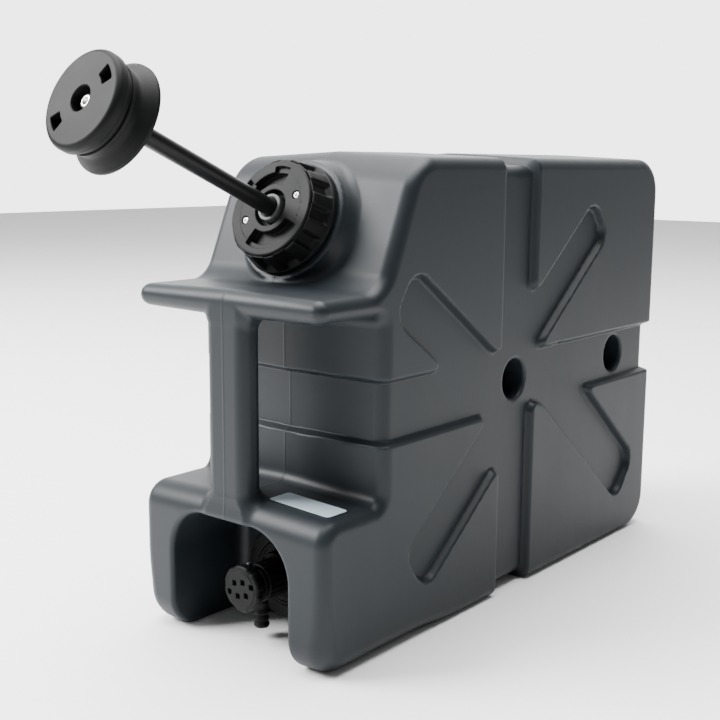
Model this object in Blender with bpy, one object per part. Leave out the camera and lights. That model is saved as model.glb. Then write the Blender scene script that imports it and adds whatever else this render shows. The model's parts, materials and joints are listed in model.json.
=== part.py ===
"""Portable water tank with a hand pump, a filter cartridge and a tap.

Metres, +Z up, +X to the right of the tank, -Y towards its front.  The origin lies on the
floor under the centre of the whole object's box.  The moulding's own reference, on the
floor at the front of its mid-plane, is the empty "tank_front".
"""

import math

import bmesh
import bpy

MM = 0.001

# Tank moulding
LENGTH = 475 * MM
HEIGHT = 344.6 * MM
HALF_WIDTH = 87.5 * MM
WALL = 3.5 * MM
DRAFT = 0.047
EDGE_RADIUS = 12 * MM
FOOT_TOP = 111 * MM
RECESS_Y = 62 * MM
REAR_RADIUS = 30 * MM
ROOF_RADIUS = 21 * MM
FLOOR_RADIUS = 24 * MM
FRONT_TO_CENTRE = 178.76 * MM

# Grooves round the moulding
GROOVE_DEPTH = 6 * MM
SLOT_DEPTH = 5.8 * MM
STRAP_Y = (211.3 * MM, 257.7 * MM)
BELT_Z = (148.6 * MM, 191.5 * MM)
TIE_HOLE_RADIUS = 16 * MM
TIE_HOLES = ((238 * MM, 170 * MM), (404 * MM, 170 * MM))

# Carry shelf, grip column and arch
SHELF_FRONT = 2 * MM
SHELF_TOP = 252.5 * MM
SHELF_UNDER = 236 * MM
SHELF_HALF = 87 * MM
COLUMN_HALF_X = 18 * MM
COLUMN_HALF_Y = 10 * MM
COLUMN_Y = 12 * MM
ARCH_HALF = 56 * MM
ARCH_TOP = 95 * MM
ARCH_RADIUS = 34 * MM
ARCH_BACK = 72 * MM

# Pump, measured outwards along its axis from the front of its face plate
PUMP_POINT = (0.0, 48.5 * MM, 305.9 * MM)
PUMP_TILT = math.radians(23)
NECK_PLANE = -32 * MM
SEAT_FLOOR = -22.6 * MM
SEAT_RADIUS = 45 * MM
NECK_TOP = -10.7 * MM
BOSS_TOP_RADIUS = 44.5 * MM
BOSS_FOOT_RADIUS = 48 * MM
NECK_OUTER = 31 * MM
NECK_BORE = 27.2 * MM
ROD_RADIUS = 6 * MM
STROKE = 137.5 * MM
HANDLE_REAR = 138.5 * MM
HANDLE_FRONT = 168.5 * MM
BARREL_OUTER = 19 * MM
BARREL_INNER = 16.8 * MM
BARREL_END = -192 * MM
FLUTES = 12
WINDOW_ANGLE = 40
SCREW_ANGLE = 26
SCREW_CIRCLE = 22.5 * MM
POCKET_START = 66
POCKET_SPAN = 88
LUG_SPAN = 26

# Tap and filter, measured outwards along the tap's axis from the front of its knob
TAP_POINT = (0.0, 15.5 * MM, 41.5 * MM)
KNOB_RADIUS = 17 * MM
TAP_BODY_RADIUS = 14 * MM
SPOUT_Y = 37 * MM
SPOUT_END_Z = 8 * MM
PORT_BOSS = 30 * MM
PORT_BORE = 26 * MM
FILTER_RING = 34 * MM
GRIP_NOTCHES = 12
CARTRIDGE_RADIUS = 24 * MM
CARTRIDGE_END = -245 * MM

LABEL_SIZE = (55.5 * MM, 26.6 * MM, 0.6 * MM)
LABEL_CENTRE = (49.6 * MM, 34.7 * MM)

GAP = 0.3 * MM
BEYOND = 50 * MM

COLOURS = {
    "tank_plastic": ((0.055, 0.078, 0.095), 0.42, 0.0),
    "black_plastic": ((0.012, 0.012, 0.013), 0.45, 0.0),
    "black_rubber": ((0.010, 0.010, 0.010), 0.75, 0.0),
    "grey_plastic": ((0.30, 0.31, 0.31), 0.50, 0.0),
    "stainless": ((0.62, 0.62, 0.63), 0.28, 1.0),
    "filter_white": ((0.78, 0.78, 0.74), 0.60, 0.0),
    "label_white": ((0.55, 0.62, 0.66), 0.45, 0.0),
}


# ---------------------------------------------------------------- scene helpers


def clear_scene():
    """Remove every object that the file starts with."""
    for item in list(bpy.data.objects):
        bpy.data.objects.remove(item, do_unlink=True)


def make_materials():
    """One Principled material for each finish."""
    made = {}
    for name, (colour, roughness, metallic) in COLOURS.items():
        material = bpy.data.materials.new(name)
        material.use_nodes = True
        shader = material.node_tree.nodes["Principled BSDF"]
        shader.inputs["Base Color"].default_value = (*colour, 1.0)
        shader.inputs["Roughness"].default_value = roughness
        shader.inputs["Metallic"].default_value = metallic
        made[name] = material
    return made


def empty(name, location, rotation_x, parent):
    """A reference axis: its local +Z is the axis of what is built on it."""
    axis = bpy.data.objects.new(name, None)
    bpy.context.scene.collection.objects.link(axis)
    axis.parent = parent
    axis.location = location
    axis.rotation_euler = (rotation_x, 0.0, 0.0)
    return axis


def mesh_object(name, verts, faces, parent, material=None, smooth_angle=35):
    """An object from vertices and faces, cut into triangles and turned outwards."""
    mesh = bpy.data.meshes.new(name)
    mesh.from_pydata(verts, [], faces)
    work = bmesh.new()
    work.from_mesh(mesh)
    bmesh.ops.triangulate(work, faces=work.faces)
    bmesh.ops.recalc_face_normals(work, faces=work.faces)
    work.to_mesh(mesh)
    work.free()
    mesh.shade_smooth()
    mesh.set_sharp_from_angle(angle=math.radians(smooth_angle))
    item = bpy.data.objects.new(name, mesh)
    bpy.context.scene.collection.objects.link(item)
    item.parent = parent
    if material is None:
        item.hide_render = True
        item.display_type = "WIRE"
    else:
        mesh.materials.append(material)
    return item


def combine(target, operation, *tools, solver="EXACT"):
    """Boolean the tools with the target, in order."""
    for tool in tools:
        step = target.modifiers.new(operation.lower(), "BOOLEAN")
        step.operation = operation
        step.solver = solver
        step.object = tool


def merge_flats(target):
    """Join the triangles that lie in one plane."""
    merge = target.modifiers.new("merge_flats", "DECIMATE")
    merge.decimate_type = "DISSOLVE"
    merge.angle_limit = math.radians(0.05)


# ---------------------------------------------------------------- shape helpers


def arc(centre, radius, start, end, steps):
    """Points on an arc, both ends included; angles in degrees."""
    points = []
    for i in range(steps + 1):
        angle = math.radians(start + (end - start) * i / steps)
        points.append((centre[0] + radius * math.cos(angle), centre[1] + radius * math.sin(angle)))
    return points


def rounded(corners, steps=3):
    """A closed outline from (y, z, radius) corners, each rounded by an arc."""
    outline = []
    count = len(corners)
    for i, (y, z, radius) in enumerate(corners):
        if radius == 0:
            outline.append((y, z))
            continue
        back = corners[i - 1]
        ahead = corners[(i + 1) % count]
        to_back = math.atan2(back[1] - z, back[0] - y)
        to_ahead = math.atan2(ahead[1] - z, ahead[0] - y)
        turn = (to_ahead - to_back + math.pi) % (2 * math.pi) - math.pi
        half = abs(turn) / 2
        middle = to_back + turn / 2
        reach = radius / math.sin(half)
        centre = (y + reach * math.cos(middle), z + reach * math.sin(middle))
        sweep = math.copysign(math.pi - abs(turn), -turn)
        first = to_back - math.copysign(math.pi / 2, turn)
        first_degrees = math.degrees(first)
        outline += arc(centre, radius, first_degrees, first_degrees + math.degrees(sweep), steps)
    return outline


def inset(outline, distance):
    """Move each edge of a clockwise (y, z) outline inwards by a distance, with mitred corners."""
    moved = []
    count = len(outline)
    for i, point in enumerate(outline):
        before = outline[i - 1]
        after = outline[(i + 1) % count]
        normals = []
        for a, b in ((before, point), (point, after)):
            dy, dz = b[0] - a[0], b[1] - a[1]
            size = math.hypot(dy, dz)
            normals.append((dz / size, -dy / size))
        sum_y = normals[0][0] + normals[1][0]
        sum_z = normals[0][1] + normals[1][1]
        scale = 2 * distance / (sum_y * sum_y + sum_z * sum_z)
        moved.append((point[0] + sum_y * scale, point[1] + sum_z * scale))
    return moved


def rings_to_mesh(rings):
    """Vertices and faces of a body through equal rings of points, capped at both ends."""
    size = len(rings[0])
    verts = [point for ring in rings for point in ring]
    faces = [tuple(range(size))]
    for level in range(len(rings) - 1):
        low = level * size
        high = low + size
        for i in range(size):
            j = (i + 1) % size
            faces.append((low + i, low + j, high + j, high + i))
    last = (len(rings) - 1) * size
    faces.append(tuple(range(last, last + size)))
    return verts, faces


def moulded(name, outline, half_width, depth, parent, edge_radius=EDGE_RADIUS, steps=2):
    """A drafted body across X from its mid-plane outline, all of it set in by a depth.

    The outline shrinks by the draft towards each side and by the rounded side edge, and
    its underside stays level.
    """
    stations = []
    for i in range(steps + 1):
        angle = math.pi / 2 * (1 - i / steps)
        x = half_width - edge_radius + edge_radius * math.cos(angle)
        stations.append((x, edge_radius * (1 - math.sin(angle))))
    stations = [(-x, extra) for x, extra in reversed(stations)] + [(0.0, 0.0)] + stations
    rings = []
    for x, extra in stations:
        slope = DRAFT * abs(x)
        ring = []
        total = depth + slope + extra
        for y, z in inset(outline, total):
            level = min(1.0, max(0.0, 1 - (z - total) / (2.5 * FLOOR_RADIUS)))
            ring.append((x, y, z - slope * level))
        rings.append(ring)
    return mesh_object(name, *rings_to_mesh(rings), parent)


def prism_x(name, outline, low, high, parent):
    """A (y, z) outline swept along X."""
    rings = [[(x, y, z) for y, z in outline] for x in (low, high)]
    return mesh_object(name, *rings_to_mesh(rings), parent)


def prism_z(name, outline, low, high, parent, material=None):
    """An (x, y) outline swept along Z."""
    rings = [[(x, y, z) for x, y in outline] for z in (low, high)]
    return mesh_object(name, *rings_to_mesh(rings), parent, material)


def turned(name, profile, parent, material=None, segments=24):
    """Turn a closed (radius, height) profile about the parent's Z axis.

    A cutter starts part of a step round, so that its corners stay off the mid-plane.
    """
    phase = 0.31 if material is None else 0.0
    verts = []
    index = []
    for radius, height in profile:
        if radius == 0:
            index.append([len(verts)] * segments)
            verts.append((0.0, 0.0, height))
            continue
        index.append(list(range(len(verts), len(verts) + segments)))
        for k in range(segments):
            angle = 2 * math.pi * (k + phase) / segments
            verts.append((radius * math.cos(angle), radius * math.sin(angle), height))
    faces = []
    count = len(profile)
    for i in range(count):
        near = index[i]
        far = index[(i + 1) % count]
        for k in range(segments):
            j = (k + 1) % segments
            corner = []
            for vertex in (near[k], near[j], far[j], far[k]):
                if vertex not in corner:
                    corner.append(vertex)
            if len(corner) > 2:
                faces.append(tuple(corner))
    return mesh_object(name, verts, faces, parent, material)


def tube(name, inner, outer, low, high, parent, material=None, segments=24):
    """A plain ring or bush."""
    profile = [(inner, low), (outer, low), (outer, high), (inner, high)]
    return turned(name, profile, parent, material, segments)


def rod(name, radius, low, high, parent, material=None, segments=24):
    """A plain cylinder."""
    profile = [(0, low), (radius, low), (radius, high), (0, high)]
    return turned(name, profile, parent, material, segments)


def o_ring(name, centre_radius, cord_radius, height, parent, material, segments=24):
    """A ring of round section, as a hexagon turned about the axis."""
    profile = arc((centre_radius, height), cord_radius, 0, 300, 5)
    return turned(name, profile, parent, material, segments)


def sector(inner, outer, start, span, steps=6):
    """The (x, y) outline of a piece of a flat ring; angles in degrees."""
    return arc((0, 0), outer, start, start + span, steps) + arc((0, 0), inner, start + span, start, steps)


def slot_outline(end, towards, width, radius):
    """A groove's (y, z) outline from its rounded outer end towards an inner point."""
    length = math.dist(end, towards)
    along = ((towards[0] - end[0]) / length, (towards[1] - end[1]) / length)
    across = (-along[1], along[0])
    half = width / 2
    corners = []
    for distance, side, corner in ((0, -1, radius), (0, 1, radius), (length, 1, 0), (length, -1, 0)):
        y = end[0] + along[0] * distance + across[0] * side * half
        z = end[1] + along[1] * distance + across[1] * side * half
        corners.append((y, z, corner))
    return rounded(corners, 3)


# ---------------------------------------------------------------- tank moulding

# Grooves that cross on each side: outer end, inner point, width
SLOTS = (
    ((89 * MM, 250 * MM), (205 * MM, 170 * MM), 40 * MM),
    ((362 * MM, 292 * MM), (255 * MM, 208 * MM), 38 * MM),
    ((104 * MM, 50 * MM), (215 * MM, 136 * MM), 41 * MM),
    ((427 * MM, 52 * MM), (285 * MM, 168 * MM), 47 * MM),
)
SLOT_END_RADIUS = 15 * MM


def neck_plane_y(z):
    """Where the sloping neck face lies at a height, on the mid-plane."""
    constant = -math.cos(PUMP_TILT) * PUMP_POINT[1] + math.sin(PUMP_TILT) * PUMP_POINT[2] + NECK_PLANE
    return (math.sin(PUMP_TILT) * z - constant) / math.cos(PUMP_TILT)


def tank_outline():
    """The moulding's outline on its mid-plane, without the shelf and the column, clockwise."""
    corners = [
        (0.0, 0.0, FLOOR_RADIUS),
        (0.0, FOOT_TOP, 17 * MM),
        (RECESS_Y, FOOT_TOP, 4 * MM),
        (RECESS_Y, SHELF_UNDER, 0),
        (neck_plane_y(SHELF_TOP - 5 * MM), SHELF_TOP - 5 * MM, 0),
        (neck_plane_y(HEIGHT), HEIGHT, ROOF_RADIUS),
        (LENGTH, HEIGHT, REAR_RADIUS),
        (LENGTH, 0.0, REAR_RADIUS),
    ]
    return rounded(corners)


def shelf_rings(shrink):
    """The carry shelf: a flat bar with a rounded front and rounded ends."""
    radius = (SHELF_TOP - SHELF_UNDER) / 2
    middle = (SHELF_TOP + SHELF_UNDER) / 2
    front = SHELF_FRONT + radius
    back = RECESS_Y + 8 * MM
    outline = [(back, SHELF_UNDER - 3 * MM)] + arc((front, middle), radius, 270, 90, 4) + [(back, SHELF_TOP)]
    reach = radius - shrink
    rings = []
    for x in (-SHELF_HALF, -SHELF_HALF + 3 * MM, -SHELF_HALF + 8 * MM):
        inward = (x + SHELF_HALF - 8 * MM) / (8 * MM)
        fraction = 0.45 + 0.55 * math.sqrt(max(0.0, 1 - inward * inward))
        ring = []
        for y, z in outline:
            rise = (z - middle) * fraction * reach / radius
            ring.append((y + (1 - fraction) * radius + shrink, middle + rise))
        rings.append((x + shrink, ring))
    rings += [(-x, ring) for x, ring in reversed(rings)]
    return [[(x, y, z) for y, z in ring] for x, ring in rings]


def column_rings(shrink):
    """The grip column: an upright bar that flares into the foot and the shelf."""
    levels = ((103, 6, 4), (113, 3, 2), (120, 0, 0), (224, 0, 0), (232, 4, 2), (243, 9, 3))
    rings = []
    for z, wider, deeper in levels:
        half_x = COLUMN_HALF_X + wider * MM - shrink
        half_y = COLUMN_HALF_Y + deeper * MM - shrink
        corners = [
            (-half_x, -half_y, half_y * 0.8),
            (-half_x, half_y, half_y * 0.8),
            (half_x, half_y, half_y * 0.8),
            (half_x, -half_y, half_y * 0.8),
        ]
        back = deeper * MM
        rings.append([(x, COLUMN_Y + y + back, z * MM) for x, y in rounded(corners, 2)])
    return rings


def arch_prism(name, grow, parent):
    """The tunnel between the two legs, open in front and below."""
    half = ARCH_HALF + grow
    top = ARCH_TOP + grow
    corners = [(-half, -40 * MM, 0), (-half, top, ARCH_RADIUS), (half, top, ARCH_RADIUS), (half, -40 * MM, 0)]
    outline = rounded(corners, 4)
    rings = [[(x, y, z) for x, z in outline] for y in (-40 * MM, ARCH_BACK + grow)]
    return mesh_object(name, *rings_to_mesh(rings), parent)


def grooves(name, core, grow, parent):
    """The strap and belt grooves: two bands round the moulding, down to a core body."""
    far = 0.6
    strap_y = (STRAP_Y[0] - grow, STRAP_Y[1] + grow)
    belt_z = (BELT_Z[0] - grow, BELT_Z[1] + grow)
    strap = [(strap_y[0], -0.1), (strap_y[0], far), (strap_y[1], far), (strap_y[1], -0.1)]
    belt_y = (RECESS_Y - 20 * MM, far)
    belt = [(belt_y[0], belt_z[0]), (belt_y[0], belt_z[1]), (belt_y[1], belt_z[1]), (belt_y[1], belt_z[0])]
    bands = prism_x(name, strap, -0.15, 0.15, parent)
    combine(bands, "UNION", prism_x(name + "_belt", belt, -0.14, 0.14, parent))
    combine(bands, "DIFFERENCE", core)
    return bands


def side_slots(name, depth, grow, parent):
    """The four diagonal grooves on each side, as cutters."""
    cutters = []
    for number, (end, towards, width) in enumerate(SLOTS):
        outline = slot_outline(end, towards, width, SLOT_END_RADIUS)
        outline = inset(outline, -grow) if grow else outline
        for side in (-1, 1):
            inner = side * (HALF_WIDTH - depth)
            outer = side * (HALF_WIDTH + 20 * MM)
            low, high = sorted((inner, outer))
            cutters.append(prism_x(f"{name}_{number}_{side}", outline, low, high, parent))
    return cutters


def tie_holes(name, radius, parent):
    """Cylinders through the moulding from side to side."""
    cutters = []
    for number, (y, z) in enumerate(TIE_HOLES):
        outline = arc((y, z), radius, 0, 337.5, 15)
        cutters.append(prism_x(f"{name}_{number}", outline, -0.12, 0.12, parent))
    return cutters


def build_tank(front, pump, tap, finish):
    """The hollow moulding, with its neck for the pump and its port for the filter."""
    outline = tank_outline()
    body = moulded("tank_body", outline, HALF_WIDTH, 0.0, front)
    body.hide_render = False
    body.display_type = "TEXTURED"
    body.data.materials.append(finish["tank_plastic"])
    shelf = mesh_object("shelf_form", *rings_to_mesh(shelf_rings(0.0)), front)
    column = mesh_object("column_form", *rings_to_mesh(column_rings(0.0)), front)
    combine(body, "UNION", shelf, column, solver="MANIFOLD")

    core = moulded(
        "groove_core", outline, HALF_WIDTH - GROOVE_DEPTH, GROOVE_DEPTH, front, EDGE_RADIUS - GROOVE_DEPTH
    )
    combine(body, "DIFFERENCE", grooves("groove_bands", core, 0.0, front), solver="MANIFOLD")
    combine(body, "DIFFERENCE", *side_slots("slot", SLOT_DEPTH, 0.0, front), solver="MANIFOLD")
    combine(body, "DIFFERENCE", arch_prism("arch", 0.0, front), solver="MANIFOLD")
    buried = NECK_PLANE - 14 * MM
    neck_boss = turned(
        "neck_boss",
        [
            (0, buried), (BOSS_FOOT_RADIUS, buried), (BOSS_FOOT_RADIUS, NECK_PLANE),
            (BOSS_TOP_RADIUS, SEAT_FLOOR + 2 * MM), (NECK_OUTER + 4 * MM, SEAT_FLOOR + 2 * MM),
            (NECK_OUTER + 4 * MM, NECK_TOP), (0, NECK_TOP),
        ],
        pump,
    )
    neck_seat = tube("neck_seat", NECK_OUTER, SEAT_RADIUS, SEAT_FLOOR, BEYOND, pump)
    port_face = TAP_POINT[1] - ARCH_BACK
    port_boss = rod("port_boss", PORT_BOSS, port_face - 2 * MM, port_face + 6.5 * MM, tap)
    combine(body, "UNION", neck_boss, solver="MANIFOLD")
    combine(body, "DIFFERENCE", neck_seat, solver="MANIFOLD")
    combine(body, "UNION", port_boss, solver="MANIFOLD")
    combine(body, "DIFFERENCE", *tie_holes("tie_hole", TIE_HOLE_RADIUS, front), solver="MANIFOLD")

    cavity = moulded("cavity", outline, HALF_WIDTH - WALL, WALL, front, EDGE_RADIUS - WALL)
    depth = GROOVE_DEPTH + WALL
    inner_core = moulded("cavity_core", outline, HALF_WIDTH - depth, depth, front, EDGE_RADIUS - depth)
    combine(cavity, "DIFFERENCE", grooves("cavity_bands", inner_core, WALL, front))
    combine(cavity, "DIFFERENCE", *side_slots("cavity_slot", SLOT_DEPTH + WALL, WALL, front))
    combine(cavity, "DIFFERENCE", *tie_holes("cavity_tie", TIE_HOLE_RADIUS + WALL, front))
    combine(cavity, "DIFFERENCE", arch_prism("cavity_arch", WALL, front))
    boss_hollow = rod("boss_hollow", BOSS_TOP_RADIUS - WALL, NECK_PLANE - 20 * MM, SEAT_FLOOR - WALL, pump)
    shelf_hollow = mesh_object("shelf_hollow", *rings_to_mesh(shelf_rings(WALL)), front)
    column_hollow = mesh_object("column_hollow", *rings_to_mesh(column_rings(WALL)), front)
    combine(cavity, "UNION", boss_hollow, shelf_hollow, column_hollow)
    combine(body, "DIFFERENCE", cavity, solver="MANIFOLD")
    neck_bore = rod("neck_bore", NECK_BORE, -45 * MM, 10 * MM, pump)
    port_bore = rod("port_bore", PORT_BORE, port_face - 12 * MM, port_face + 20 * MM, tap)
    combine(body, "DIFFERENCE", neck_bore, port_bore, solver="MANIFOLD")
    merge_flats(body)


def build_label(front, finish):
    """A blank label on the drafted top of the foot."""
    half_x, half_y = LABEL_SIZE[0] / 2, LABEL_SIZE[1] / 2
    centre_x, centre_y = LABEL_CENTRE
    outline = [(-half_x, -half_y), (-half_x, half_y), (half_x, half_y), (half_x, -half_y)]
    label = prism_z("rating_label", outline, 0.0, LABEL_SIZE[2], front, finish["label_white"])
    label.location = (centre_x, centre_y, FOOT_TOP - DRAFT * centre_x + 1.1 * GAP)
    label.rotation_euler = (0.0, math.atan(DRAFT), 0.0)


# ---------------------------------------------------------------- pump


def build_pump_head(axis, finish):
    """The pump's head, its gasket and its face plate, with the screws that hold it."""
    black = finish["black_plastic"]
    head = turned(
        "pump_head",
        [
            (6.6 * MM, -18 * MM), (19.4 * MM, -18 * MM), (19.4 * MM, -30 * MM), (22 * MM, -30 * MM),
            (26.6 * MM, -16 * MM), (26.6 * MM, -9.6 * MM), (31.2 * MM, -9.6 * MM), (31.2 * MM, -6.3 * MM),
            (27.1 * MM, -6.3 * MM), (27.1 * MM, -8 * MM), (10.2 * MM, -8 * MM), (10.2 * MM, -14.5 * MM),
            (6.6 * MM, -14.5 * MM),
        ],
        axis, black,
    )
    tube("neck_gasket", 27.8 * MM, 31 * MM, -10.4 * MM, -9.9 * MM, axis, finish["black_rubber"])

    plate = turned(
        "face_plate",
        [
            (10.2 * MM, -7.7 * MM), (26.6 * MM, -7.7 * MM), (26.6 * MM, -3.2 * MM), (34.5 * MM, -3.2 * MM),
            (34.7 * MM, -0.8 * MM), (33.9 * MM, 0.0), (15 * MM, 0.0), (15 * MM, -6.5 * MM),
            (10.2 * MM, -6.5 * MM),
        ],
        axis, black, 30,
    )
    for number, start in enumerate((POCKET_START, POCKET_START + 180)):
        shallow = sector(16.8 * MM, 30.6 * MM, start, POCKET_SPAN)
        deep = sector(17.2 * MM, 26 * MM, start + 1, POCKET_SPAN - 2)
        rim = prism_z(f"pocket_rim_{number}", shallow, -2 * MM, 5 * MM, axis)
        well = prism_z(f"pocket_{number}", deep, -6 * MM, 5 * MM, axis)
        combine(plate, "DIFFERENCE", rim, well, solver="MANIFOLD")
    for number, angle in enumerate((SCREW_ANGLE, SCREW_ANGLE + 180)):
        turn = math.radians(angle)
        location = (SCREW_CIRCLE * math.cos(turn), SCREW_CIRCLE * math.sin(turn), 0)
        place = empty(f"screw_place_{number}", location, 0, axis)
        sink = turned(
            f"screw_sink_{number}",
            [
                (0, -20 * MM), (1.5 * MM, -20 * MM), (1.5 * MM, -3 * MM), (3.1 * MM, -3 * MM),
                (3.1 * MM, 5 * MM), (0, 5 * MM),
            ],
            place, None, 10,
        )
        combine(plate, "DIFFERENCE", sink, solver="MANIFOLD")
        combine(head, "DIFFERENCE", sink)
        turned(
            f"face_screw_{number + 1}",
            [
                (0, -14 * MM), (1.2 * MM, -14 * MM), (1.2 * MM, -2.6 * MM), (2.7 * MM, -2.6 * MM),
                (2.7 * MM, -0.6 * MM), (2.1 * MM, -0.2 * MM), (1.3 * MM, -0.2 * MM), (1.3 * MM, -1.6 * MM),
                (0, -1.6 * MM),
            ],
            place, finish["stainless"], 10,
        )


def build_barrel(axis, finish):
    """The rod's bush and wiper, the barrel, and the check valve in the barrel's foot."""
    black = finish["black_plastic"]
    rubber = finish["black_rubber"]
    turned(
        "rod_bush",
        [
            (6.35 * MM, -14.2 * MM), (9.8 * MM, -14.2 * MM), (9.8 * MM, 0.9 * MM), (9.2 * MM, 1.5 * MM),
            (6.35 * MM, 1.5 * MM),
        ],
        axis, finish["grey_plastic"],
    )
    tube("rod_wiper", 6.35 * MM, 8.6 * MM, -20.3 * MM, -18.3 * MM, axis, rubber)
    tube("pump_barrel", BARREL_INNER, BARREL_OUTER, BARREL_END, -20.6 * MM, axis, black, 28)
    foot = turned(
        "barrel_foot",
        [
            (2.3 * MM, BARREL_END + 1 * MM), (16.4 * MM, BARREL_END + 1 * MM),
            (16.4 * MM, BARREL_END + 5 * MM), (2.3 * MM, BARREL_END + 5 * MM),
        ],
        axis, black,
    )
    ports = []
    for n in range(4):
        turn = math.pi * (n / 2 + 0.13)
        centre = (7 * MM * math.cos(turn), 7 * MM * math.sin(turn))
        outline = arc(centre, 1.6 * MM, 0, 315, 7)
        ports.append(prism_z(f"foot_port_{n}", outline, BARREL_END - 5 * MM, BARREL_END + 15 * MM, axis))
    combine(foot, "DIFFERENCE", *ports)
    merge_flats(foot)
    turned(
        "check_valve",
        [
            (0, BARREL_END - 1.2 * MM), (10 * MM, BARREL_END - 0.2 * MM), (10 * MM, BARREL_END + 0.7 * MM),
            (1.9 * MM, BARREL_END + 0.7 * MM), (1.9 * MM, BARREL_END + 7.2 * MM),
            (3 * MM, BARREL_END + 7.6 * MM), (1.6 * MM, BARREL_END + 9.2 * MM), (0, BARREL_END + 9.2 * MM),
        ],
        axis, rubber, 20,
    )


def build_lock_ring(axis, finish):
    """The gripped ring that clamps the pump on the neck."""
    ring = turned(
        "lock_ring",
        [
            (32.4 * MM, -21.6 * MM), (40.6 * MM, -21.6 * MM), (41 * MM, -20.6 * MM), (36.4 * MM, -2 * MM),
            (35.9 * MM, -1.2 * MM), (35.3 * MM, -1.2 * MM), (35.3 * MM, -3.5 * MM), (27.6 * MM, -3.5 * MM),
            (27.6 * MM, -5.8 * MM), (32.4 * MM, -5.8 * MM),
        ],
        axis, finish["black_plastic"], 36,
    )
    flutes = []
    for n in range(FLUTES):
        turn = 2 * math.pi * (n + 0.5) / FLUTES
        centre = (43.4 * MM * math.cos(turn), 43.4 * MM * math.sin(turn))
        flutes.append(prism_z(f"flute_{n}", arc(centre, 6 * MM, 0, 315, 7), -19 * MM, 5 * MM, axis))
    combine(ring, "DIFFERENCE", *flutes)
    merge_flats(ring)


def build_piston(axis, finish):
    """The piston that slides in the barrel."""
    turned(
        "piston_head",
        [
            (4.4 * MM, -36 * MM), (16.3 * MM, -36 * MM), (16.3 * MM, -33.2 * MM), (12.8 * MM, -33.2 * MM),
            (12.8 * MM, -28.8 * MM), (16.3 * MM, -28.8 * MM), (16.3 * MM, -26 * MM), (4.4 * MM, -26 * MM),
        ],
        axis, finish["black_plastic"],
    )
    o_ring("piston_seal", 14.8 * MM, 1.6 * MM, -31 * MM, axis, finish["black_rubber"])


def build_handle(axis, finish):
    """The rod and the reel-shaped knob on its end."""
    black = finish["black_plastic"]
    turned(
        "pump_rod",
        [
            (0, -44 * MM), (4 * MM, -44 * MM), (4 * MM, -25.7 * MM), (ROD_RADIUS, -25.7 * MM),
            (ROD_RADIUS, 158 * MM), (2.8 * MM, 158 * MM), (2.8 * MM, 140 * MM), (0, 140 * MM),
        ],
        axis, black,
    )
    turned(
        "piston_nut",
        [(4.9 * MM, -41 * MM), (7.5 * MM, -41 * MM), (7.5 * MM, -36.3 * MM), (4.9 * MM, -36.3 * MM)],
        axis, finish["stainless"], 6,
    )
    spool = turned(
        "handle_reel",
        [
            (11.5 * MM, HANDLE_REAR + 4 * MM), (11.5 * MM, HANDLE_REAR), (33.6 * MM, HANDLE_REAR),
            (35.3 * MM, HANDLE_REAR + 1.6 * MM), (35 * MM, HANDLE_REAR + 3.4 * MM), (30.6 * MM, 146.5 * MM),
            (28 * MM, 151 * MM), (28 * MM, 153.4 * MM), (29.8 * MM, 154.4 * MM), (29.8 * MM, 155.6 * MM),
            (28.4 * MM, 156.4 * MM), (28.4 * MM, 159.7 * MM), (ROD_RADIUS + GAP, 159.7 * MM),
            (ROD_RADIUS + GAP, HANDLE_REAR + 4 * MM),
        ],
        axis, black, 30,
    )
    lug_start = POCKET_START + 2
    for number, start in enumerate((lug_start, lug_start + 180)):
        outline = sector(18.5 * MM, 24.5 * MM, start, LUG_SPAN, 3)
        lug = prism_z(f"lug_{number}", outline, HANDLE_REAR - 4.5 * MM, HANDLE_REAR + 1 * MM, axis)
        combine(spool, "UNION", lug)
    face = turned(
        "handle_face",
        [
            (8 * MM, 160 * MM), (30.2 * MM, 160 * MM), (31.7 * MM, 161.5 * MM), (31.7 * MM, 164.3 * MM),
            (30.6 * MM, 167 * MM), (28 * MM, HANDLE_FRONT), (8 * MM, HANDLE_FRONT),
        ],
        axis, black, 30,
    )
    for number, angle in enumerate((WINDOW_ANGLE, WINDOW_ANGLE + 180)):
        outline = sector(17.6 * MM, 25 * MM, angle - 13, 26, 2)
        combine(face, "DIFFERENCE", prism_z(f"window_{number}", outline, 150 * MM, 180 * MM, axis))
        combine(spool, "DIFFERENCE", prism_z(f"well_{number}", outline, 152 * MM, 180 * MM, axis))
    tube("handle_washer", 2.9 * MM, 7.4 * MM, 160 * MM, 161.2 * MM, axis, finish["stainless"], 20)
    turned(
        "handle_screw",
        [
            (0, 143 * MM), (2.5 * MM, 143 * MM), (2.5 * MM, 161.5 * MM), (5 * MM, 161.5 * MM),
            (5 * MM, 162.6 * MM), (3.6 * MM, 164.4 * MM), (2 * MM, 164.9 * MM), (2 * MM, 162.6 * MM),
            (0, 162.6 * MM),
        ],
        axis, finish["stainless"], 18,
    )


# ---------------------------------------------------------------- filter and tap


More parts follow.
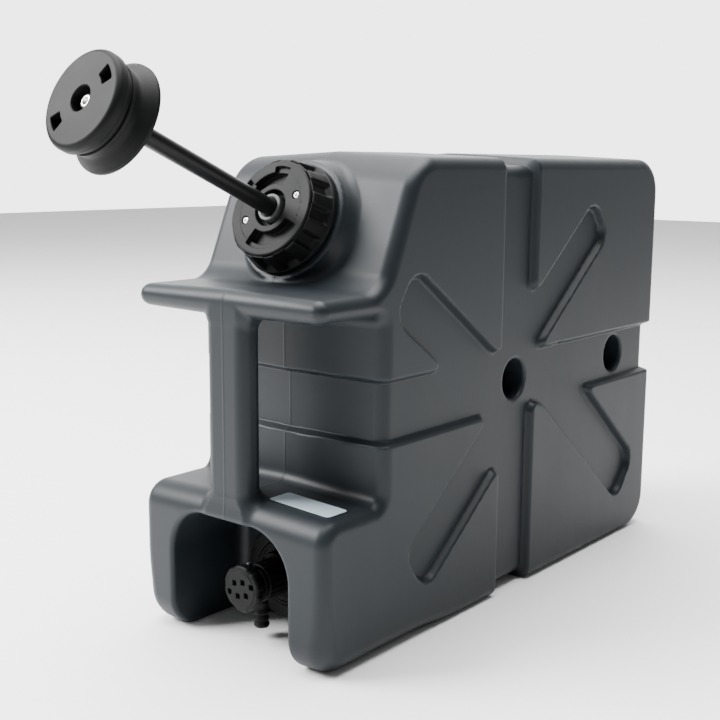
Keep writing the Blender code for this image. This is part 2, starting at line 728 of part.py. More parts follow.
def build_filter_unit(axis, finish):
    """The cap plate, its seal and the cartridge that hangs behind it in the tank."""
    black = finish["black_plastic"]
    turned(
        "filter_plate",
        [
            (9.4 * MM, -58 * MM), (25.4 * MM, -58 * MM), (25.4 * MM, -47.2 * MM), (29.8 * MM, -47.2 * MM),
            (29.8 * MM, -45 * MM), (23.6 * MM, -45 * MM), (23.6 * MM, -42.6 * MM), (9.4 * MM, -42.6 * MM),
        ],
        axis, black,
    )
    o_ring("port_seal", 27.4 * MM, 1.1 * MM, -48.6 * MM, axis, finish["black_rubber"])
    inner = CARTRIDGE_RADIUS - 1.8 * MM
    case = tube("cartridge_case", inner, CARTRIDGE_RADIUS, CARTRIDGE_END, -60.7 * MM, axis, black)
    windows = []
    for ring in range(2):
        low = -135 * MM - ring * 84 * MM
        for n in range(3):
            turn = math.pi * n / 3
            slot = arc((0, 0), 30 * MM, math.degrees(turn) - 12, math.degrees(turn) + 12, 1)
            slot += arc((0, 0), 30 * MM, math.degrees(turn) + 168, math.degrees(turn) + 192, 1)
            windows.append(prism_z(f"case_window_{ring}_{n}", slot, low, low + 62 * MM, axis))
    combine(case, "DIFFERENCE", *windows, solver="MANIFOLD")
    merge_flats(case)
    rod("membrane_bundle", 19 * MM, CARTRIDGE_END + 10 * MM, -72.5 * MM, axis, finish["filter_white"], 20)
    rod("cartridge_end", 21.8 * MM, CARTRIDGE_END + 1 * MM, CARTRIDGE_END + 9.6 * MM, axis, black)
    tube("potting_collar", 6 * MM, 21.8 * MM, -72.2 * MM, -61 * MM, axis, finish["filter_white"])


def build_filter_ring(axis, finish):
    """The gripped ring that clamps the filter plate on the port."""
    ring = turned(
        "filter_ring",
        [
            (31.2 * MM, -55 * MM), (FILTER_RING, -55 * MM), (FILTER_RING, -44.4 * MM), (32.6 * MM, -43 * MM),
            (24.2 * MM, -43 * MM), (24.2 * MM, -44.7 * MM), (31.2 * MM, -44.7 * MM),
        ],
        axis, finish["black_plastic"], 30,
    )
    notches = []
    for n in range(GRIP_NOTCHES):
        turn = 2 * math.pi * (n + 0.37) / GRIP_NOTCHES
        centre = (FILTER_RING * 1.05 * math.cos(turn), FILTER_RING * 1.05 * math.sin(turn))
        notches.append(prism_z(f"notch_{n}", arc(centre, 2.6 * MM, 0, 315, 7), -60 * MM, -30 * MM, axis))
    combine(ring, "DIFFERENCE", *notches)
    merge_flats(ring)


def build_tap(front, axis, finish):
    """The tap's fixed body, its nut and the barbed hose spout."""
    black = finish["black_plastic"]
    body = turned(
        "tap_body",
        [
            (3 * MM, -60 * MM), (9.1 * MM, -60 * MM), (9.1 * MM, -36 * MM), (12.4 * MM, -35.8 * MM),
            (TAP_BODY_RADIUS, -33.5 * MM), (TAP_BODY_RADIUS, -14.6 * MM), (13 * MM, -13.2 * MM),
            (8.1 * MM, -13.2 * MM), (8.1 * MM, -35 * MM), (3 * MM, -35 * MM),
        ],
        axis, black, 28,
    )
    spout_axis = empty("spout_axis", (0.0, SPOUT_Y, TAP_POINT[2]), 0.0, front)
    combine(body, "DIFFERENCE", rod("spout_socket", 3.8 * MM, -20 * MM, -5 * MM, spout_axis, None, 16))
    tube("tap_nut", 9.4 * MM, 17.5 * MM, -42.2 * MM, -36.4 * MM, axis, black, 16)
    low = SPOUT_END_Z - TAP_POINT[2]
    turned(
        "hose_spout",
        [
            (2.4 * MM, low), (4.9 * MM, low), (5.7 * MM, low + 1.6 * MM), (4.5 * MM, low + 4.6 * MM),
            (5.7 * MM, low + 6.2 * MM), (4.5 * MM, low + 9.4 * MM), (5.7 * MM, low + 11 * MM),
            (4.6 * MM, low + 14 * MM), (4.6 * MM, -14.6 * MM), (3.5 * MM, -14.6 * MM), (3.5 * MM, -9 * MM),
            (2.4 * MM, -9 * MM),
        ],
        spout_axis, black, 20,
    )


def build_tap_knob(axis, finish):
    """The turning part of the tap: knob, pointer, valve plug and its seals."""
    black = finish["black_plastic"]
    knob = turned(
        "tap_knob",
        [
            (3.3 * MM, -12.8 * MM), (12.6 * MM, -12.8 * MM), (12.6 * MM, -6.8 * MM), (16.4 * MM, -6 * MM),
            (KNOB_RADIUS, -5 * MM), (KNOB_RADIUS, -2.6 * MM), (15.6 * MM, -0.8 * MM), (10 * MM, 0.0),
            (0, 0.0), (0, -3.5 * MM), (3.3 * MM, -3.5 * MM),
        ],
        axis, black, 28,
    )
    pockets = []
    for n in range(6):
        turn = 2 * math.pi * (n + 0.5) / 6
        centre = (11 * MM * math.cos(turn), 11 * MM * math.sin(turn))
        outline = arc(centre, 2.3 * MM, math.degrees(turn) + 45, math.degrees(turn) + 315, 3)
        pockets.append(prism_z(f"knob_pocket_{n}", outline, -3 * MM, 5 * MM, axis))
    combine(knob, "DIFFERENCE", *pockets)
    merge_flats(knob)
    prism_z(
        "knob_pointer",
        [(-1.8 * MM, 12.9 * MM), (1.8 * MM, 12.9 * MM), (1.8 * MM, 17.4 * MM), (-1.8 * MM, 17.4 * MM)],
        -11.6 * MM, -7.4 * MM, axis, finish["grey_plastic"],
    )
    plug = turned(
        "valve_plug",
        [
            (0, -34.4 * MM), (7.7 * MM, -34.4 * MM), (7.7 * MM, -19 * MM), (6.3 * MM, -19 * MM),
            (6.3 * MM, -16.2 * MM), (7.7 * MM, -16.2 * MM), (7.7 * MM, -13.4 * MM), (3 * MM, -13.4 * MM),
            (3 * MM, -4 * MM), (0, -4 * MM),
        ],
        axis, finish["grey_plastic"],
    )
    port = [(-2.4 * MM, -20 * MM), (2.4 * MM, -20 * MM), (2.4 * MM, 20 * MM), (-2.4 * MM, 20 * MM)]
    combine(plug, "DIFFERENCE", prism_z("plug_port", port, -24 * MM, -19.6 * MM, axis))
    tube("plug_seal", 6.6 * MM, 7.8 * MM, -18.6 * MM, -16.6 * MM, axis, finish["black_rubber"])


def main():
    clear_scene()
    finish = make_materials()
    front = empty("tank_front", (0.0, -FRONT_TO_CENTRE, 0.0), 0.0, None)
    pump = empty("pump_axis", PUMP_POINT, math.pi / 2 - PUMP_TILT, front)
    tap = empty("tap_axis", TAP_POINT, math.pi / 2, front)
    build_tank(front, pump, tap, finish)
    build_label(front, finish)
    build_pump_head(pump, finish)
    build_barrel(pump, finish)
    build_lock_ring(pump, finish)
    build_piston(pump, finish)
    build_handle(pump, finish)
    build_filter_unit(tap, finish)
    build_filter_ring(tap, finish)
    build_tap(front, tap, finish)
    build_tap_knob(tap, finish)


main()
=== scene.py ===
"""Visual model of a portable pressurised water tank with a hand pump, a filter and a tap.

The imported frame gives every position: the pump's axis and the tap's axis come from the joints, and
the moulding is drawn in millimetres from its own reference, on the floor at the front of its
mid-plane.  Large soft-edged shapes are distance fields, whose zero surface is meshed on a grid;
round parts are profiles turned about an axis.
"""

import json
import math

import bmesh
import bpy
import numpy as np
from bpy.props import FloatProperty, FloatVectorProperty, IntProperty, PointerProperty
from mathutils import Matrix, Vector


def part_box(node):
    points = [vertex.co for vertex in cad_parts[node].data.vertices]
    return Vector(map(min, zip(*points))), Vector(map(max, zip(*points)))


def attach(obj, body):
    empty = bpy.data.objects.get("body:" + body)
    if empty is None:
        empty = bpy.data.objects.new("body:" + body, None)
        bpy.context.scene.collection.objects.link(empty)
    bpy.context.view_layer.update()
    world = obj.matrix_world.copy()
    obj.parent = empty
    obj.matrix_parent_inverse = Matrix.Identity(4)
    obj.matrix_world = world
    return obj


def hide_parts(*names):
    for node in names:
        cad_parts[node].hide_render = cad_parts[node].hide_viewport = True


bl_info = {
    "name": "Portable water tank",
    "version": (1, 0, 0),
    "blender": (4, 5, 0),
    "location": "3D View > Sidebar > Water tank",
    "description": "Builds a moulded water tank with its pump, filter and tap on a packed frame",
    "category": "Add Mesh",
}

MM = 0.001

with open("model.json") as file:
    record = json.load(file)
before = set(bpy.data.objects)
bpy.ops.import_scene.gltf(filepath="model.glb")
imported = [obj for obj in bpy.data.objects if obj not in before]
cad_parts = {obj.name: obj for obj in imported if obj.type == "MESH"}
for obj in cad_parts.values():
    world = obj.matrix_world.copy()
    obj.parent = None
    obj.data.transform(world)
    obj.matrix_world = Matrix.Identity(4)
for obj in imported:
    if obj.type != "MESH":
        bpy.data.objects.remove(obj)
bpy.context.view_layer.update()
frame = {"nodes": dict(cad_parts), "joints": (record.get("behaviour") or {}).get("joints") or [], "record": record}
JOINTS = {joint["name"]: joint for joint in frame["joints"]}


# ---------------------------------------------------------------- places


class Place:
    """A point in metres and three directions; a piece is drawn in millimetres from it."""

    def __init__(self, point, along):
        self.point = np.array(point, float)
        outward = np.array(along, float)
        outward /= np.linalg.norm(outward)
        across = np.array((1.0, 0.0, 0.0))
        self.basis = np.array([across, np.cross(outward, across), outward])

    def world(self, points):
        """Local (across, up, outward) millimetres to metres in the shared frame."""
        return self.point + (points @ self.basis) * MM

    def turn(self, directions):
        """Local directions to directions in the shared frame."""
        return directions @ self.basis


PUMP = Place(JOINTS["lock_ring_turn"]["pos_m"], JOINTS["lock_ring_turn"]["axis"])
TAP = Place(JOINTS["filter_ring_turn"]["pos_m"], JOINTS["filter_ring_turn"]["axis"])
KNOB_TO_FRONT = 15.5
FRONT = Place((0.0, TAP.point[1] - KNOB_TO_FRONT * MM, 0.0), (0.0, 0.0, 1.0))
SPOUT_Y = 37.0
SPOUT = Place((0.0, FRONT.point[1] + SPOUT_Y * MM, TAP.point[2]), (0.0, 0.0, 1.0))
PUMP_MM = (PUMP.point - FRONT.point) / MM
TAP_MM = (TAP.point - FRONT.point) / MM


# ---------------------------------------------------------------- settings


def length(name, description, default_mm):
    """A length setting, given in millimetres and kept in metres."""
    return FloatProperty(name=name, description=description, default=default_mm * MM, min=0.0, unit="LENGTH")


def colour(name, description, default):
    """A linear colour setting."""
    return FloatVectorProperty(
        name=name, description=description, default=default, size=3, min=0.0, max=1.0, subtype="COLOR"
    )


class TankSettings(bpy.types.PropertyGroup):
    """Sizes of the moulding."""

    grid: length("Grid", "Spacing of the grid that the moulding is meshed on", 1.9)
    edge: length("Edge radius", "Rounding between the side panels and the other faces", 9)
    ridge: length("Ridge radius", "Rounding between the neck face and the roof", 21)
    rear: length("Rear radius", "Rounding of the rear corners in side view", 30)
    foot: length("Foot radius", "Rounding of the foot's front lower corner in side view", 24)
    groove: length("Groove depth", "Depth of the strap, belt and diagonal grooves", 6)
    groove_edge: length("Groove slope", "Width over which a groove's side falls", 4)


class PumpSettings(bpy.types.PropertyGroup):
    """Sizes of the pump, its lock ring and its handle."""

    flutes: IntProperty(name="Flutes", description="Finger flutes round the lock ring", default=12, min=3)
    flute_depth: length("Flute depth", "Depth of a finger flute", 3.3)
    rod: length("Rod radius", "Radius of the pump rod", 6)
    grid: length("Grid", "Spacing of the grid that the plates are meshed on", 0.55)


class TapSettings(bpy.types.PropertyGroup):
    """Sizes of the tap and the filter ring."""

    ribs: IntProperty(name="Ribs", description="Grip ribs round the filter ring", default=12, min=3)
    knob_grid: length("Knob grid", "Spacing of the grid that the knob is meshed on", 0.45)


class FinishSettings(bpy.types.PropertyGroup):
    """Colours of the materials."""

    tank: colour("Tank", "Moulded polyethylene of the tank", (0.0075, 0.0105, 0.0130))
    black: colour("Black parts", "Moulded nylon of the pump and the tap", (0.0035, 0.0037, 0.0040))
    rubber: colour("Rubber", "Seals and wiper", (0.006, 0.006, 0.006))
    grey: colour("Grey parts", "Acetal of the rod bush, pointer and valve", (0.030, 0.032, 0.034))
    steel: colour("Stainless steel", "Screws, washer and nut", (0.62, 0.61, 0.60))
    fibre: colour("Filter", "Hollow fibres and potting", (0.72, 0.71, 0.66))
    label: colour("Label", "Blank printed film", (0.34, 0.42, 0.47))


# ---------------------------------------------------------------- shader writing


class Value:
    """A shader socket that plain Python expressions on numbers can be written with."""

    def __init__(self, finish, socket):
        self.finish = finish
        self.socket = socket

    def _math(self, operation, first, second):
        return self.finish.add("ShaderNodeMath", {"operation": operation}, first, second)

    def __add__(self, other):
        return self._math("ADD", self, other)

    def __rsub__(self, other):
        return self._math("SUBTRACT", other, self)

    def __mul__(self, other):
        return self._math("MULTIPLY", self, other)

    def above(self, edge, width):
        """0 below the edge and 1 above it, with a straight ramp of the given width."""
        ends = {"From Min": edge - width / 2, "From Max": edge + width / 2}
        return self.finish.add("ShaderNodeMapRange", {"clamp": True}, self, **ends)

    __radd__ = __add__
    __rmul__ = __mul__


class Finish:
    """A material with a Principled surface, and one method that adds any node to it."""

    def __init__(self, name, base, roughness, **sockets):
        self.material = bpy.data.materials.new(name)
        self.material.use_nodes = True
        self.tree = self.material.node_tree
        self.surface = self.tree.nodes["Principled BSDF"]
        self.base = base
        self.set("Base Color", (*base, 1.0))
        self.set("Roughness", roughness)
        for socket, value in sockets.items():
            self.set(socket.replace("_", " "), value)

    def set(self, socket, value):
        """Put a number, a colour or a link on one of the surface's sockets."""
        self._feed(self.surface.inputs[socket], value)

    def _feed(self, socket, value):
        if isinstance(value, Value):
            self.tree.links.new(value.socket, socket)
        else:
            socket.default_value = value

    def add(self, kind, settings, *inputs, out=0, **named):
        """Add a node: its settings first, then its sockets by order or by name; returns one output."""
        node = self.tree.nodes.new(kind)
        for key, value in settings.items():
            setattr(node, key, value)
        for socket, value in zip(node.inputs, inputs):
            self._feed(socket, value)
        for key, value in named.items():
            self._feed(node.inputs[key.replace("_", " ")], value)
        return Value(self, node.outputs[out])

    def place(self):
        """The point on the piece, in metres in the shared frame."""
        return self.add("ShaderNodeTexCoord", {}, out="Object")

    def stretched(self, scale, turn=(0.0, 0.0, 0.0)):
        """The point, turned and scaled unevenly, for grain that runs one way."""
        return self.add("ShaderNodeMapping", {}, self.place(), Scale=scale, Rotation=turn)

    def noise(self, scale, detail=2.0, roughness=0.5, at=None):
        """Smooth noise from 0 to 1, with so many features in a metre."""
        options = {"Scale": scale, "Detail": detail, "Roughness": roughness}
        return self.add("ShaderNodeTexNoise", {}, Vector=at or self.place(), **options)

    def mix(self, factor, first, second):
        """One colour over another."""
        mixed = self.add("ShaderNodeMix", {"data_type": "RGBA"}, factor, out=2)
        sockets = mixed.socket.node.inputs
        self._feed(sockets[COLOUR_A], first)
        self._feed(sockets[COLOUR_B], second)
        return mixed

    def tint(self, factor, low, high):
        """The base colour, from one brightness to another."""
        return self.mix(factor, shade(self.base, low), shade(self.base, high))

    def edge(self):
        """How sharply the surface turns outwards at each point, from 0 to 1."""
        return self.add("ShaderNodeAttribute", {"attribute_name": "edge"}, out="Fac")

    def bump(self, height, distance, strength=1.0):
        """Feed a height, in units of the distance, into the surface's normal."""
        bump = self.add("ShaderNodeBump", {}, Strength=strength, Distance=distance, Height=height)
        self.set("Normal", bump)


# The colour inputs of a mix node that is set to colours
COLOUR_A = 6
COLOUR_B = 7


def shade(rgb, factor):
    """A colour made lighter or darker, with an alpha of 1."""
    return (*(min(1.0, channel * factor) for channel in rgb), 1.0)


# ---------------------------------------------------------------- finishes


def moulded_tank(settings):
    """Dark moulded polyethylene: a soft sheen, flow streaks, fine texture, a parting line and a painted highlight
    along the rounded edges.
    """
    finish = Finish("tank_plastic", settings.tank, 0.4, Specular_IOR_Level=0.24)
    cloud = finish.noise(9.0, 3.0)
    streak = finish.noise(1.0, 4.0, 0.6, finish.stretched((60.0, 60.0, 7.0)))
    grain = finish.noise(900.0, 2.0)
    orange = finish.noise(260.0, 1.0)
    tone = cloud * 0.55 + streak * 0.45
    mottled = finish.tint(tone.above(0.5, 0.5), 0.86, 1.16)
    # Painted highlight: the base colour is lighter along the convex rounded edges, where the surface turns
    # outwards
    painted_edge_highlight = finish.edge().above(0.52, 0.6) * 0.35
    finish.set("Base Color", finish.mix(painted_edge_highlight, mottled, shade(settings.tank, 1.9)))
    finish.set("Roughness", 0.36 + cloud * 0.08 + streak * 0.07 + grain * 0.05)
    across = finish.add("ShaderNodeSeparateXYZ", {}, finish.place())
    seam = 1 - finish.add("ShaderNodeMath", {"operation": "ABSOLUTE"}, across).above(0.0007, 0.0006)
    finish.bump(grain * 0.05 + orange * 0.10 + streak * 0.12 + seam * 0.6, 0.0005, 0.6)
    return finish.material


def moulded_black(settings):
    """Glass-filled nylon: a spark-eroded grain, faint flow marks and rubbed edges."""
    finish = Finish("black_plastic", settings.black, 0.42, Specular_IOR_Level=0.1)
    cloud = finish.noise(45.0, 3.0)
    grain = finish.noise(2600.0, 2.0)
    coarse = finish.noise(700.0, 1.0)
    rubbed = finish.edge().above(0.5, 0.7) * 0.5
    tone = finish.tint(cloud.above(0.5, 0.6), 0.8, 1.35)
    finish.set("Base Color", finish.mix(rubbed, tone, shade(settings.black, 3.2)))
    finish.set("Roughness", 0.40 + cloud * 0.10 + grain * 0.08)
    finish.bump(grain * 0.35 + coarse * 0.25, 0.00012, 0.7)
    return finish.material


def sliding_black(settings):
    """The drawn rod: a finer satin with marks along it from sliding in its bush."""
    finish = Finish("rod_black", settings.black, 0.34, Specular_IOR_Level=0.15)
    tilt = math.atan2(PUMP.basis[2][2], -PUMP.basis[2][1])
    marks = finish.noise(1.0, 3.0, 0.6, finish.stretched((1400.0, 25.0, 1400.0), (tilt, 0.0, 0.0)))
    cloud = finish.noise(60.0, 2.0)
    finish.set("Base Color", finish.tint(marks, 0.7, 1.6))
    finish.set("Roughness", 0.26 + marks * 0.14 + cloud * 0.06)
    finish.bump(marks, 0.00003, 0.5)
    return finish.material


def seal_rubber(settings):
    """Matt rubber with a powdery bloom."""
    finish = Finish("black_rubber", settings.rubber, 0.75)
    bloom = finish.noise(180.0, 3.0)
    finish.set("Base Color", finish.tint(bloom, 1.0, 2.4))
    finish.set("Roughness", 0.62 + bloom * 0.22)
    finish.bump(finish.noise(1800.0, 2.0), 0.00008, 0.6)
    return finish.material


def bearing_grey(settings):
    """Satin acetal with machining rings and a little grime."""
    finish = Finish("grey_plastic", settings.grey, 0.42, Specular_IOR_Level=0.25)
    grime = finish.noise(220.0, 4.0, 0.6)
    finish.set("Base Color", finish.tint(grime.above(0.55, 0.4), 1.0, 0.6))
    finish.set("Roughness", 0.34 + grime * 0.18)
    finish.bump(finish.noise(1500.0, 2.0), 0.00004, 0.5)
    return finish.material


def bright_steel(settings):
    """Stainless steel: turned marks, small scratches and handling haze."""
    finish = Finish("stainless", settings.steel, 0.24, Metallic=1.0)
    haze = finish.noise(350.0, 3.0)
    scratch = finish.noise(1.0, 2.0, 0.5, finish.stretched((5200.0, 300.0, 900.0), (0.3, 0.2, 0.7)))
    finish.set("Base Color", finish.tint(haze, 0.84, 1.1))
    finish.set("Roughness", 0.16 + haze * 0.14 + scratch * 0.08)
    finish.bump(scratch, 0.00002, 0.4)
    return finish.material


def filter_fibre(settings):
    """Hollow fibres laid along the cartridge, with resin between them."""
    finish = Finish("filter_white", settings.fibre, 0.55, Subsurface_Weight=0.1, Subsurface_Scale=0.004)
    strand = finish.noise(1.0, 2.0, 0.5, finish.stretched((900.0, 12.0, 900.0)))
    finish.set("Base Color", finish.tint(strand, 0.72, 1.1))
    finish.set("Roughness", 0.45 + strand * 0.25)
    finish.bump(strand, 0.0003, 0.7)
    return finish.material


def printed_film(settings):
    """A blank satin label with a slight print mottle."""
    finish = Finish("label_white", settings.label, 0.36)
    mottle = finish.noise(300.0, 3.0)
    dirt = finish.noise(60.0, 4.0, 0.65)
    paper = finish.tint(mottle, 0.94, 1.05)
    finish.set("Base Color", finish.mix(dirt.above(0.66, 0.3) * 0.4, paper, shade(settings.label, 0.55)))
    finish.set("Roughness", 0.32 + mottle * 0.12)
    finish.bump(mottle, 0.00003, 0.4)
    return finish.material


def studio_floor():
    """A pale matt sweep."""
    finish = Finish("studio_floor", (0.93, 0.93, 0.93), 0.7)
    finish.set("Roughness", 0.62 + finish.noise(3.0) * 0.1)
    return finish.material


# ---------------------------------------------------------------- meshes from arrays


def read(items, key, width=1, kind=np.float32):
    """One value, or a row of values, from each of a mesh's items."""
    values = np.empty(len(items) * width, kind)
    items.foreach_get(key, values)
    return values.reshape(-1, width) if width > 1 else values


def unit(vectors):
    """Each vector divided by its length."""
    return vectors / np.maximum(np.linalg.norm(vectors, axis=1, keepdims=True), 1e-20)


def edge_attribute(mesh, normals, reach):
    """Store how sharply the surface turns outwards: the mean over a vertex's edges of the change
    of normal along the edge, divided by the edge's length, times a reach in metres."""
    count = len(mesh.vertices)
    ends = read(mesh.edges, "vertices", 2, np.int32)
    points = read(mesh.vertices, "co", 3)
    step = points[ends[:, 1]] - points[ends[:, 0]]
    turn = normals[ends[:, 1]] - normals[ends[:, 0]]
    bend = (step * turn).sum(1) / np.maximum((step * step).sum(1), 1e-12)
    total = np.bincount(ends.ravel(), np.repeat(bend, 2), count)
    share = np.bincount(ends.ravel(), minlength=count)
    value = np.clip(total / np.maximum(share, 1) * reach, 0, 1)
    mesh.attributes.new("edge", "FLOAT", "POINT").data.foreach_set("value", value.astype(np.float32))


def weighted_normals(mesh):
    """Vertex normals as the sum of the faces' normals, each times its area."""
    corner = read(mesh.loops, "vertex_index", kind=np.int32)
    sides = read(mesh.polygons, "loop_total", kind=np.int32)
    weighted = read(mesh.polygons, "normal", 3) * read(mesh.polygons, "area")[:, None]
    spread = np.repeat(weighted, sides, axis=0)
    return unit(np.stack([np.bincount(corner, spread[:, k], len(mesh.vertices)) for k in range(3)], 1))


def finish_piece(name, mesh, normals, look, body, stands_for=(), reach=0.0008):
    """Make a mesh the named piece: smooth, with its material, riding on its body."""
    mesh.shade_smooth()
    edge_attribute(mesh, normals, reach)
    mesh.normals_split_custom_set_from_vertices(normals.tolist())
    mesh.materials.append(look)
    piece = bpy.data.objects.new(name, mesh)
    bpy.context.scene.collection.objects.link(piece)
    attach(piece, body)
    if stands_for:
        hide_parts(*stands_for)


def welded(name, points, faces):
    """A mesh whose equal points are joined and whose faces are turned outwards."""
    mesh = bpy.data.meshes.new(name)
    mesh.from_pydata(points, [], faces)
    work = bmesh.new()
    work.from_mesh(mesh)
    bmesh.ops.remove_doubles(work, verts=work.verts, dist=0.004 * MM)
    bmesh.ops.dissolve_degenerate(work, edges=work.edges, dist=0.002 * MM)
    bmesh.ops.recalc_face_normals(work, faces=work.faces)
    work.to_mesh(mesh)
    work.free()
    return mesh


def carried(name, grid, look, body, stands_for=(), closed=False):
    """A profile carried round: grid[i, j] is point i of the profile at position j round the axis.
    Each small square of the grid is a face; the last position joins the first, and the profile's
    own ends join when it is closed.  Points that fall together on the axis are welded."""
    rows, columns = grid.shape[:2]
    index = np.arange(rows * columns).reshape(rows, columns)
    if closed:
        index = np.vstack([index, index[:1]])
    ahead = np.roll(index, -1, axis=1)
    faces = np.stack([index[:-1], ahead[:-1], ahead[1:], index[1:]], axis=-1).reshape(-1, 4)
    mesh = welded(name, grid.reshape(-1, 3), faces.tolist())
    finish_piece(name, mesh, weighted_normals(mesh), look, body, stands_for)


def softened(corners, closed=True, steps=4):
    """A (radius, height) profile with each corner (radius, height, fillet) rounded by an arc that
    touches both of its sides; a fillet of 0 keeps the corner."""
    points = np.array([corner[:2] for corner in corners], float)
    outline = []
    for i, (radius, height, fillet) in enumerate(corners):
        if fillet == 0 or (not closed and i in (0, len(corners) - 1)):
            outline.append((radius, height))
            continue
        back = points[i - 1] - points[i]
        ahead = points[(i + 1) % len(points)] - points[i]
        back_length, ahead_length = np.hypot(*back), np.hypot(*ahead)
        back, ahead = back / back_length, ahead / ahead_length
        half = math.acos(max(-1.0, min(1.0, float(back @ ahead)))) / 2
        fillet = min(fillet, 0.49 * min(back_length, ahead_length) * math.tan(half))
        middle = (back + ahead) / np.hypot(*(back + ahead))
        centre = points[i] + middle * fillet / math.sin(half)
        start = points[i] + back * fillet / math.tan(half) - centre
        end = points[i] + ahead * fillet / math.tan(half) - centre
        for t in np.linspace(0.0, 1.0, steps + 1):
            direction = start * (1 - t) + end * t
            outline.append(tuple(centre + direction * fillet / np.hypot(*direction)))
    return np.array(outline)


def full_turn(steps):
    """Equal angles once round, in radians."""
    return np.linspace(0, 2 * np.pi, steps, endpoint=False)


def swept(radius, height, angle):
    """Points at a radius and height, in a column each, carried round to every angle."""
    return np.stack([radius * np.cos(angle), radius * np.sin(angle), height + 0 * angle], axis=-1)


def turned(name, corners, place, look, body, stands_for=(), closed=True, around=96):
    """A softened profile turned once about a place's axis."""
    profile = softened(corners, closed)
    grid = swept(profile[:, :1], profile[:, 1:], full_turn(around))
    carried(name, place.world(grid), look, body, stands_for, closed)


# ---------------------------------------------------------------- distance fields


def carve(first, second, radius):
    """The space inside both fields, with the edge between them rounded to a radius."""
    corner = np.hypot(np.maximum(first + radius, 0), np.maximum(second + radius, 0))
    return np.minimum(-radius, np.maximum(first, second)) + corner


def merge(first, second, radius):
    """The space inside either field, with the corner between them filled to a radius."""
    corner = np.hypot(np.maximum(radius - first, 0), np.maximum(radius - second, 0))
    return np.maximum(radius, np.minimum(first, second)) - corner


def ramp(value):
    """A smooth step from 0 to 1 as the value goes from 0 to 1."""
    value = np.clip(value, 0, 1)
    return value * value * (3 - 2 * value)


def gradient(field, points, step):
    """The field's slope along each direction, by central differences."""
    slope = []
    for k in range(3):
        shift = np.zeros(3)
        shift[k] = step
        ahead = field(*(points + shift).T)
        behind = field(*(points - shift).T)
        slope.append((ahead - behind) / (2 * step))
    return np.stack(slope, axis=-1)


def settle(field, points, step, rounds):
    """Move points on to the zero surface along the field's slope, a short way at a time."""
    for _ in range(rounds):
        slope = gradient(field, points, 0.1 * step)
        size = np.maximum((slope * slope).sum(1, keepdims=True), 0.05)
        move = field(*points.T)[:, None] * slope / size
        points = points - np.clip(move, -0.6 * step, 0.6 * step)
    return points


def surface_net(field, low, high, step):
    """Mesh a field's zero surface: one vertex in each grid cell that the surface crosses, at the
    mean of the crossings on the cell's edges, and one square for each grid edge that it crosses."""
    axes = [np.arange(a, b + step, step) for a, b in zip(low, high)]
    value = field(*np.meshgrid(*axes, indexing="ij"))
    inside = value < 0
    cells = tuple(size - 1 for size in value.shape)
    total = np.zeros((*cells, 3))
    hits = np.zeros(cells)
    faces = []
    crossings = []
    for k in range(3):
        near = [slice(None)] * 3
        far = [slice(None)] * 3
        near[k] = slice(0, -1)
        far[k] = slice(1, None)
        near, far = tuple(near), tuple(far)
        crossed = inside[near] != inside[far]
        share = value[near] / np.where(crossed, value[near] - value[far], 1)
        crossings.append((k, crossed, inside[near]))
        others = [axis for axis in range(3) if axis != k]
        for first in (0, 1):
            for second in (0, 1):
                pick = [slice(None)] * 3
                pick[others[0]] = slice(first, cells[others[0]] + first)
                pick[others[1]] = slice(second, cells[others[1]] + second)
                mask = crossed[tuple(pick)]
                hits += mask
                total[..., k] += np.where(mask, share[tuple(pick)], 0)
                total[..., others[0]] += mask * first
                total[..., others[1]] += mask * second
    used = hits > 0
    number = np.full(cells, -1)
    number[used] = np.arange(used.sum())
    where = np.argwhere(used)
    points = (where + total[used] / hits[used][:, None]) * step + np.array(low)
    for k, crossed, solid in crossings:
        a, b = (k + 1) % 3, (k + 2) % 3
        spot = np.argwhere(crossed)
        spot = spot[(spot[:, a] > 0) & (spot[:, b] > 0)]
        back_a, back_b = np.zeros(3, int), np.zeros(3, int)
        back_a[a], back_b[b] = 1, 1
        ring = [spot, spot - back_a, spot - back_a - back_b, spot - back_b]
        square = np.stack([number[tuple(corner.T)] for corner in ring], axis=-1)
        flip = ~solid[tuple(spot.T)]
        square[flip] = square[flip][:, ::-1]
        faces.append(square)
    return points, np.vstack(faces)


def thinned(mesh, triangles):
    """Collapse the least needed edges until so many triangles are left."""
    mesh.calc_loop_triangles()
    count = len(mesh.loop_triangles)
    if count <= triangles:
        return mesh
    holder = bpy.data.objects.new("thinning", mesh)
    bpy.context.scene.collection.objects.link(holder)
    collapse = holder.modifiers.new("collapse", "DECIMATE")
    collapse.ratio = triangles / count
    bpy.context.view_layer.update()
    evaluated = holder.evaluated_get(bpy.context.evaluated_depsgraph_get())
    result = bpy.data.meshes.new_from_object(evaluated)
    bpy.data.objects.remove(holder)
    return result


def slopes(field, points, step):
    """The field's direction at each point, for smooth normals."""
    return unit(gradient(field, points, 0.15 * step))


def from_field(name, field, low, high, step, place, look, body, stands_for, triangles):
    """A piece on a field's zero surface, with the field's slope as its normals."""
    points, faces = surface_net(field, low, high, step)
    points = settle(field, points, step, 3)
    mesh = bpy.data.meshes.new(name)
    mesh.from_pydata(points, [], faces.tolist())
    mesh = thinned(mesh, triangles)
    mesh.name = name
    points = settle(field, read(mesh.vertices, "co", 3).astype(float), step, 2)
    normals = slopes(field, points, step)
    mesh.vertices.foreach_set("co", place.world(points).astype(np.float32).ravel())
    mesh.update()
    finish_piece(name, mesh, place.turn(normals), look, body, stands_for)


def in_sector(x, y, inner, outer, start, span, radius):
    """A piece of a flat ring, from a start angle over a span in degrees, with rounded corners."""
    distance = np.hypot(x, y)
    middle = math.radians(start + span / 2)
    off = np.abs(np.angle(np.exp(1j * (np.arctan2(y, x) - middle))))
    sides = (off - math.radians(span / 2)) * distance
    return carve(np.maximum(distance - outer, inner - distance), sides, radius)


# ---------------------------------------------------------------- tank moulding, in millimetres

